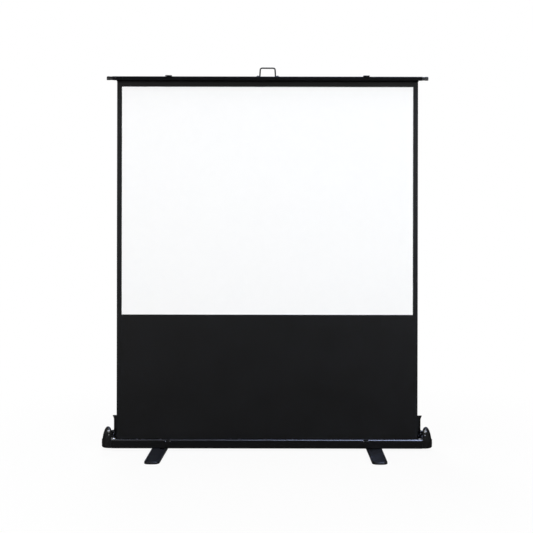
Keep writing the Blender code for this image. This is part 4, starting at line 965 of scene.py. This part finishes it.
class PULLSCREEN_OT_roller(bpy.types.Operator):
    """Finishes the spring roller, its brackets and the batten in the bar"""

    bl_idname = "pullscreen.roller"
    bl_label = "Roller"

    def execute(self, context):
        tones = context.scene.screen_finishes
        tube = metal_finish("satin_tube", tones.aluminium, gloss=0.36, size=0.001, lines=0.0)
        finish_nodes(tube, "roller_tube", "fabric_batten")
        wire = metal_finish("oiled_spring", tones.spring, gloss=0.30, size=0.0008)
        finish_nodes(wire, "roller_spring")
        # The brackets' near-white plate paints their glint.
        finish_nodes(plated("white_zinc_plate"), *pair("roller_bracket"))
        finish_nodes(plated(), "spring_mandrel")
        return {"FINISHED"}


class PULLSCREEN_OT_handle_and_latches(bpy.types.Operator):
    """Finishes the carrying handle and the hasp latches"""

    bl_idname = "pullscreen.handle_and_latches"
    bl_label = "Handle And Latches"

    def execute(self, context):
        base = context.scene.screen_finishes.rod
        rod = coat_finish(
            "handle_rod_coat", base, gloss=0.36, size=0.0008, depth=0.00001, specular=0.06, wear=0.1)
        finish_nodes(rod, "carry_handle")
        finish_nodes(powdered(), *pairs("latch_base", "latch_hasp", "latch_catch"))
        return {"FINISHED"}


class PULLSCREEN_OT_fasteners(bpy.types.Operator):
    """Sets the horns' grey rivet heads, which also paint the horns' highlight, and the rivets and
    screws of the guides, end caps, bar ends, latches and case floor
    """

    bl_idname = "pullscreen.fasteners"
    bl_label = "Fasteners"

    def execute(self, context):
        sizes = context.scene.screen_fasteners
        for name, side in SIDES:
            # Grey rivet heads on the horns: partly real rivets, partly a painted highlight.
            self.set_row("horn_rivets_" + name, "case", "end_cap_" + name, (0, 1, 0), False, [
                ((side * HORN_RIVET_X, AHEAD, HORN_RIVET_Z), sizes.horn_rivet, HORN_RIVET_HEIGHT),
                ((side * HORN_PIN_X, AHEAD, HORN_PIN_Z), sizes.horn_pin_highlight, HORN_PIN_HEIGHT),
            ], plated("dulled_rivet"))
            # The bracket screw's near-white plate paints the tab's glint.
            spot = (side * BRACKET_SCREW_X, BRACKET_SCREW_Y, ABOVE_CASE)
            bracket = "roller_bracket_" + name
            self.set_row("bracket_screws_" + name, "case", bracket, (0, 0, -1), False, [
                (spot, sizes.screw, BRACKET_SCREW_HEIGHT),
            ], plated("white_zinc_plate"))
            self.set_row("cap_screws_" + name, "case", "end_cap_" + name, (-side, 0, 0), True, [
                ((side * BESIDE, y, CAP_SCREW_Z), sizes.screw, SCREW_HEIGHT)
                for y in (-CAP_SCREW_Y, CAP_SCREW_Y)
            ])
            self.set_row("guide_screws_" + name, "case", "bar_guide_" + name, (0, 1, 0), True, [
                ((side * GUIDE_SCREW_X, 0.0, z), sizes.screw, SCREW_HEIGHT)
                for z in (GUIDE_SCREW_LOW, GUIDE_SCREW_HIGH)
            ], plated("blacked_screw"))
            end = "bar_end_piece_" + name
            self.set_row("bar_end_screws_" + name, "top_bar", end, (-side, 0, 0), True, [
                ((side * BESIDE, FRONT_END_SCREW_Y, FRONT_END_SCREW_Z), sizes.screw, END_SCREW_HEIGHT),
                ((side * BESIDE, REAR_END_SCREW_Y, REAR_END_SCREW_Z), sizes.screw, END_SCREW_HEIGHT),
            ])
            low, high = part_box("latch_hasp_" + name)
            middle = (low.x + high.x) / 2
            self.set_row("latch_rivets_" + name, "top_bar", "latch_base_" + name, (0, 0, -1), False, [
                ((middle + away, LATCH_RIVET_Y, ABOVE_BAR), sizes.latch_rivet, LATCH_RIVET_HEIGHT)
                for away in (-LATCH_SPREAD, LATCH_SPREAD)
            ])
            radius = CATCH_RIVET_SHARE * sizes.latch_rivet
            self.set_row("catch_rivets_" + name, "case", "latch_catch_" + name, (0, 1, 0), False, [
                ((middle + away, AHEAD, CATCH_RIVET_Z), radius, CATCH_RIVET_HEIGHT)
                for away in (-CATCH_SPREAD, CATCH_SPREAD)
            ])
        self.set_row("floor_rivets", "case", "case_trough", (0, 0, 1), False, [
            ((x, FLOOR_RIVET_Y, BELOW), sizes.floor_rivet, FLOOR_RIVET_HEIGHT)
            for x in FLOOR_RIVETS_X
        ])
        return {"FINISHED"}

    def set_row(self, name, body, node, direction, recessed, heads, finish=None):
        """Sets heads on a node, each where a line from its start meets it."""
        mesh = bmesh.new()
        for start, radius, height in heads:
            place, normal = surface(node, start, direction)
            add_head(mesh, place, normal, radius, height, recessed)
        new_piece(name, mesh, finish or plated(), body)


class PULLSCREEN_OT_stage(bpy.types.Operator):
    """Sets the camera, the pale floor, the soft lamps and the white surround"""

    bl_idname = "pullscreen.stage"
    bl_label = "Stage"

    def execute(self, context):
        stage = context.scene.screen_stage
        self.add_camera(context, stage)
        self.add_floor(context, stage)
        self.add_surround(context, stage)
        self.add_lamp(context, "key_lamp", stage.key, KEY_PLACE, size=2.6, tint=KEY_TINT, aim=1.3)
        self.add_lamp(context, "fill_lamp", stage.fill, FILL_PLACE, size=2.8, tint=FILL_TINT, aim=1.3)
        self.add_lamp(context, "top_lamp", stage.top, TOP_PLACE, size=2.4)
        self.add_lamp(context, "back_lamp", stage.back, BACK_PLACE, size=3.0)
        context.scene.view_settings.view_transform = "Standard"
        return {"FINISHED"}

    def add_camera(self, context, stage):
        """The camera faces the screen squarely, a little right of its middle."""
        data = bpy.data.cameras.new("camera")
        data.sensor_width = SENSOR_WIDTH
        data.lens = stage.lens
        data.shift_x, data.shift_y = stage.shift
        thing = bpy.data.objects.new("camera", data)
        context.scene.collection.objects.link(thing)
        level = Matrix.Rotation(math.pi / 2, 4, "X") @ Matrix.Rotation(stage.roll, 4, "Z")
        thing.matrix_world = Matrix.Translation(stage.camera) @ level
        context.scene.camera = thing

    def add_floor(self, context, stage):
        """A wide pale floor, seen white, that keeps the shadow."""
        mesh = bmesh.new()
        bmesh.ops.create_grid(mesh, x_segments=4, y_segments=4, size=FLOOR_REACH)
        data = bpy.data.meshes.new("floor")
        mesh.to_mesh(data)
        mesh.free()
        material = bpy.data.materials.new("pale_floor")
        material.use_nodes = True
        tree = material.node_tree
        tree.nodes.clear()
        seen = place_node(tree, "ShaderNodeLightPath").outputs["Is Camera Ray"]
        tone = mixed(tree, seen, rgba(stage.floor, stage.bounce), rgba(stage.floor))
        matt = place_node(tree, "ShaderNodeBsdfDiffuse", {"Color": tone}).outputs[0]
        values = {"Color": WHITE, "Strength": 1.0}
        glow = place_node(tree, "ShaderNodeEmission", values).outputs[0]
        place = place_node(tree, "ShaderNodeNewGeometry").outputs["Position"]
        away = place_node(tree, "ShaderNodeVectorMath", {0: place}, operation="LENGTH")
        near = CLEAR_START * stage.clear
        white = ranged(tree, away.outputs["Value"], near, stage.clear, NEAR_WHITE, 1.0)
        factor = sums(tree, "MULTIPLY", seen, white)
        both = place_node(tree, "ShaderNodeMixShader", {0: factor, 1: matt, 2: glow}).outputs[0]
        place_node(tree, "ShaderNodeOutputMaterial", {"Surface": both})
        data.materials.append(material)
        thing = bpy.data.objects.new("floor", data)
        context.scene.collection.objects.link(thing)

    def add_surround(self, context, stage):
        """White to the eye.

        Reflections see it white behind, a dim room in front and a ceiling bluer at the right.
        """
        world = bpy.data.worlds.new("surround")
        context.scene.world = world
        world.use_nodes = True
        tree = world.node_tree
        tree.nodes.clear()
        path = place_node(tree, "ShaderNodeLightPath").outputs
        way = place_node(tree, "ShaderNodeTexCoord").outputs["Generated"]
        split = parted(tree, way)
        near = ranged(tree, split["X"], *STRIP_NEAR)
        far = ranged(tree, split["X"], *STRIP_FAR, 1.0, 0.0)
        aside = sums(tree, "MULTIPLY", near, far)
        room = mixed(tree, aside, ROOM_TONE, ROOM_STRIP)
        overhead = mixed(tree, aside, CEILING_TONE, CEILING_STRIP)
        above = ranged(tree, split["Z"], *CEILING_RISE)
        front = mixed(tree, above, room, overhead)
        behind = ranged(tree, split["Y"], *BACK_TURN)
        mirrored = mixed(tree, behind, front, BACK_TONE)
        even = (stage.ambient, stage.ambient, stage.ambient, 1)
        bright = sums(tree, "MAXIMUM", path["Is Glossy Ray"], path["Is Transmission Ray"])
        light = mixed(tree, bright, even, mirrored)
        tone = mixed(tree, path["Is Camera Ray"], light, WHITE)
        values = {"Color": tone, "Strength": 1.0}
        shine = place_node(tree, "ShaderNodeBackground", values).outputs[0]
        place_node(tree, "ShaderNodeOutputWorld", {"Surface": shine})

    def add_lamp(self, context, name, power, place, size, tint=PLAIN_TINT, aim=1.0):
        """A soft square lamp, aimed at a height of the screen, that the camera doesn't see."""
        data = bpy.data.lights.new(name, "AREA")
        data.size = size
        data.energy = power
        data.color = tint
        thing = bpy.data.objects.new(name, data)
        context.scene.collection.objects.link(thing)
        thing.location = place
        way = Vector((0, 0, aim)) - Vector(place)
        thing.rotation_euler = way.to_track_quat("-Z", "Y").to_euler()
        thing.visible_camera = False


class PULLSCREEN_PT_panel(bpy.types.Panel):
    """Lists the pieces of the screen and the sizes and colours that they take"""

    bl_idname = "PULLSCREEN_PT_panel"
    bl_label = "Projection Screen"
    bl_space_type = "VIEW_3D"
    bl_region_type = "UI"
    bl_category = "Screen"

    def draw(self, context):
        layout = self.layout
        for step in STEPS:
            layout.operator(step.bl_idname)
        scene = context.scene
        for group in [getattr(scene, name) for name in SETTINGS]:
            box = layout.box()
            for name in group.__annotations__:
                box.prop(group, name)


STEPS = (
    PULLSCREEN_OT_stage,
    PULLSCREEN_OT_black_cloth,
    PULLSCREEN_OT_white_field,
    PULLSCREEN_OT_leader,
    PULLSCREEN_OT_case_and_bar,
    PULLSCREEN_OT_mouldings,
    PULLSCREEN_OT_bar_ends,
    PULLSCREEN_OT_feet,
    PULLSCREEN_OT_scissor,
    PULLSCREEN_OT_roller,
    PULLSCREEN_OT_handle_and_latches,
    PULLSCREEN_OT_fasteners,
)
SETTINGS = {
    "screen_cloth": ClothSettings,
    "screen_bar_ends": BarEndSettings,
    "screen_finishes": FinishSettings,
    "screen_fasteners": FastenerSettings,
    "screen_stage": StageSettings,
}


def register():
    """Registers the settings, the operators and the panel."""
    for name, group in SETTINGS.items():
        bpy.utils.register_class(group)
        setattr(bpy.types.Scene, name, PointerProperty(type=group))
    for step in STEPS:
        bpy.utils.register_class(step)
    bpy.utils.register_class(PULLSCREEN_PT_panel)


def unregister():
    """Takes away what register added."""
    bpy.utils.unregister_class(PULLSCREEN_PT_panel)
    for step in reversed(STEPS):
        bpy.utils.unregister_class(step)
    for name, group in SETTINGS.items():
        delattr(bpy.types.Scene, name)
        bpy.utils.unregister_class(group)


def main():
    """Makes every piece in order."""
    register()
    calls = bpy.ops.pullscreen
    calls.stage()
    calls.black_cloth()
    calls.white_field()
    calls.leader()
    calls.case_and_bar()
    calls.mouldings()
    calls.bar_ends()
    calls.feet()
    calls.scissor()
    calls.roller()
    calls.handle_and_latches()
    calls.fasteners()


if __name__ == "__main__":
    main()
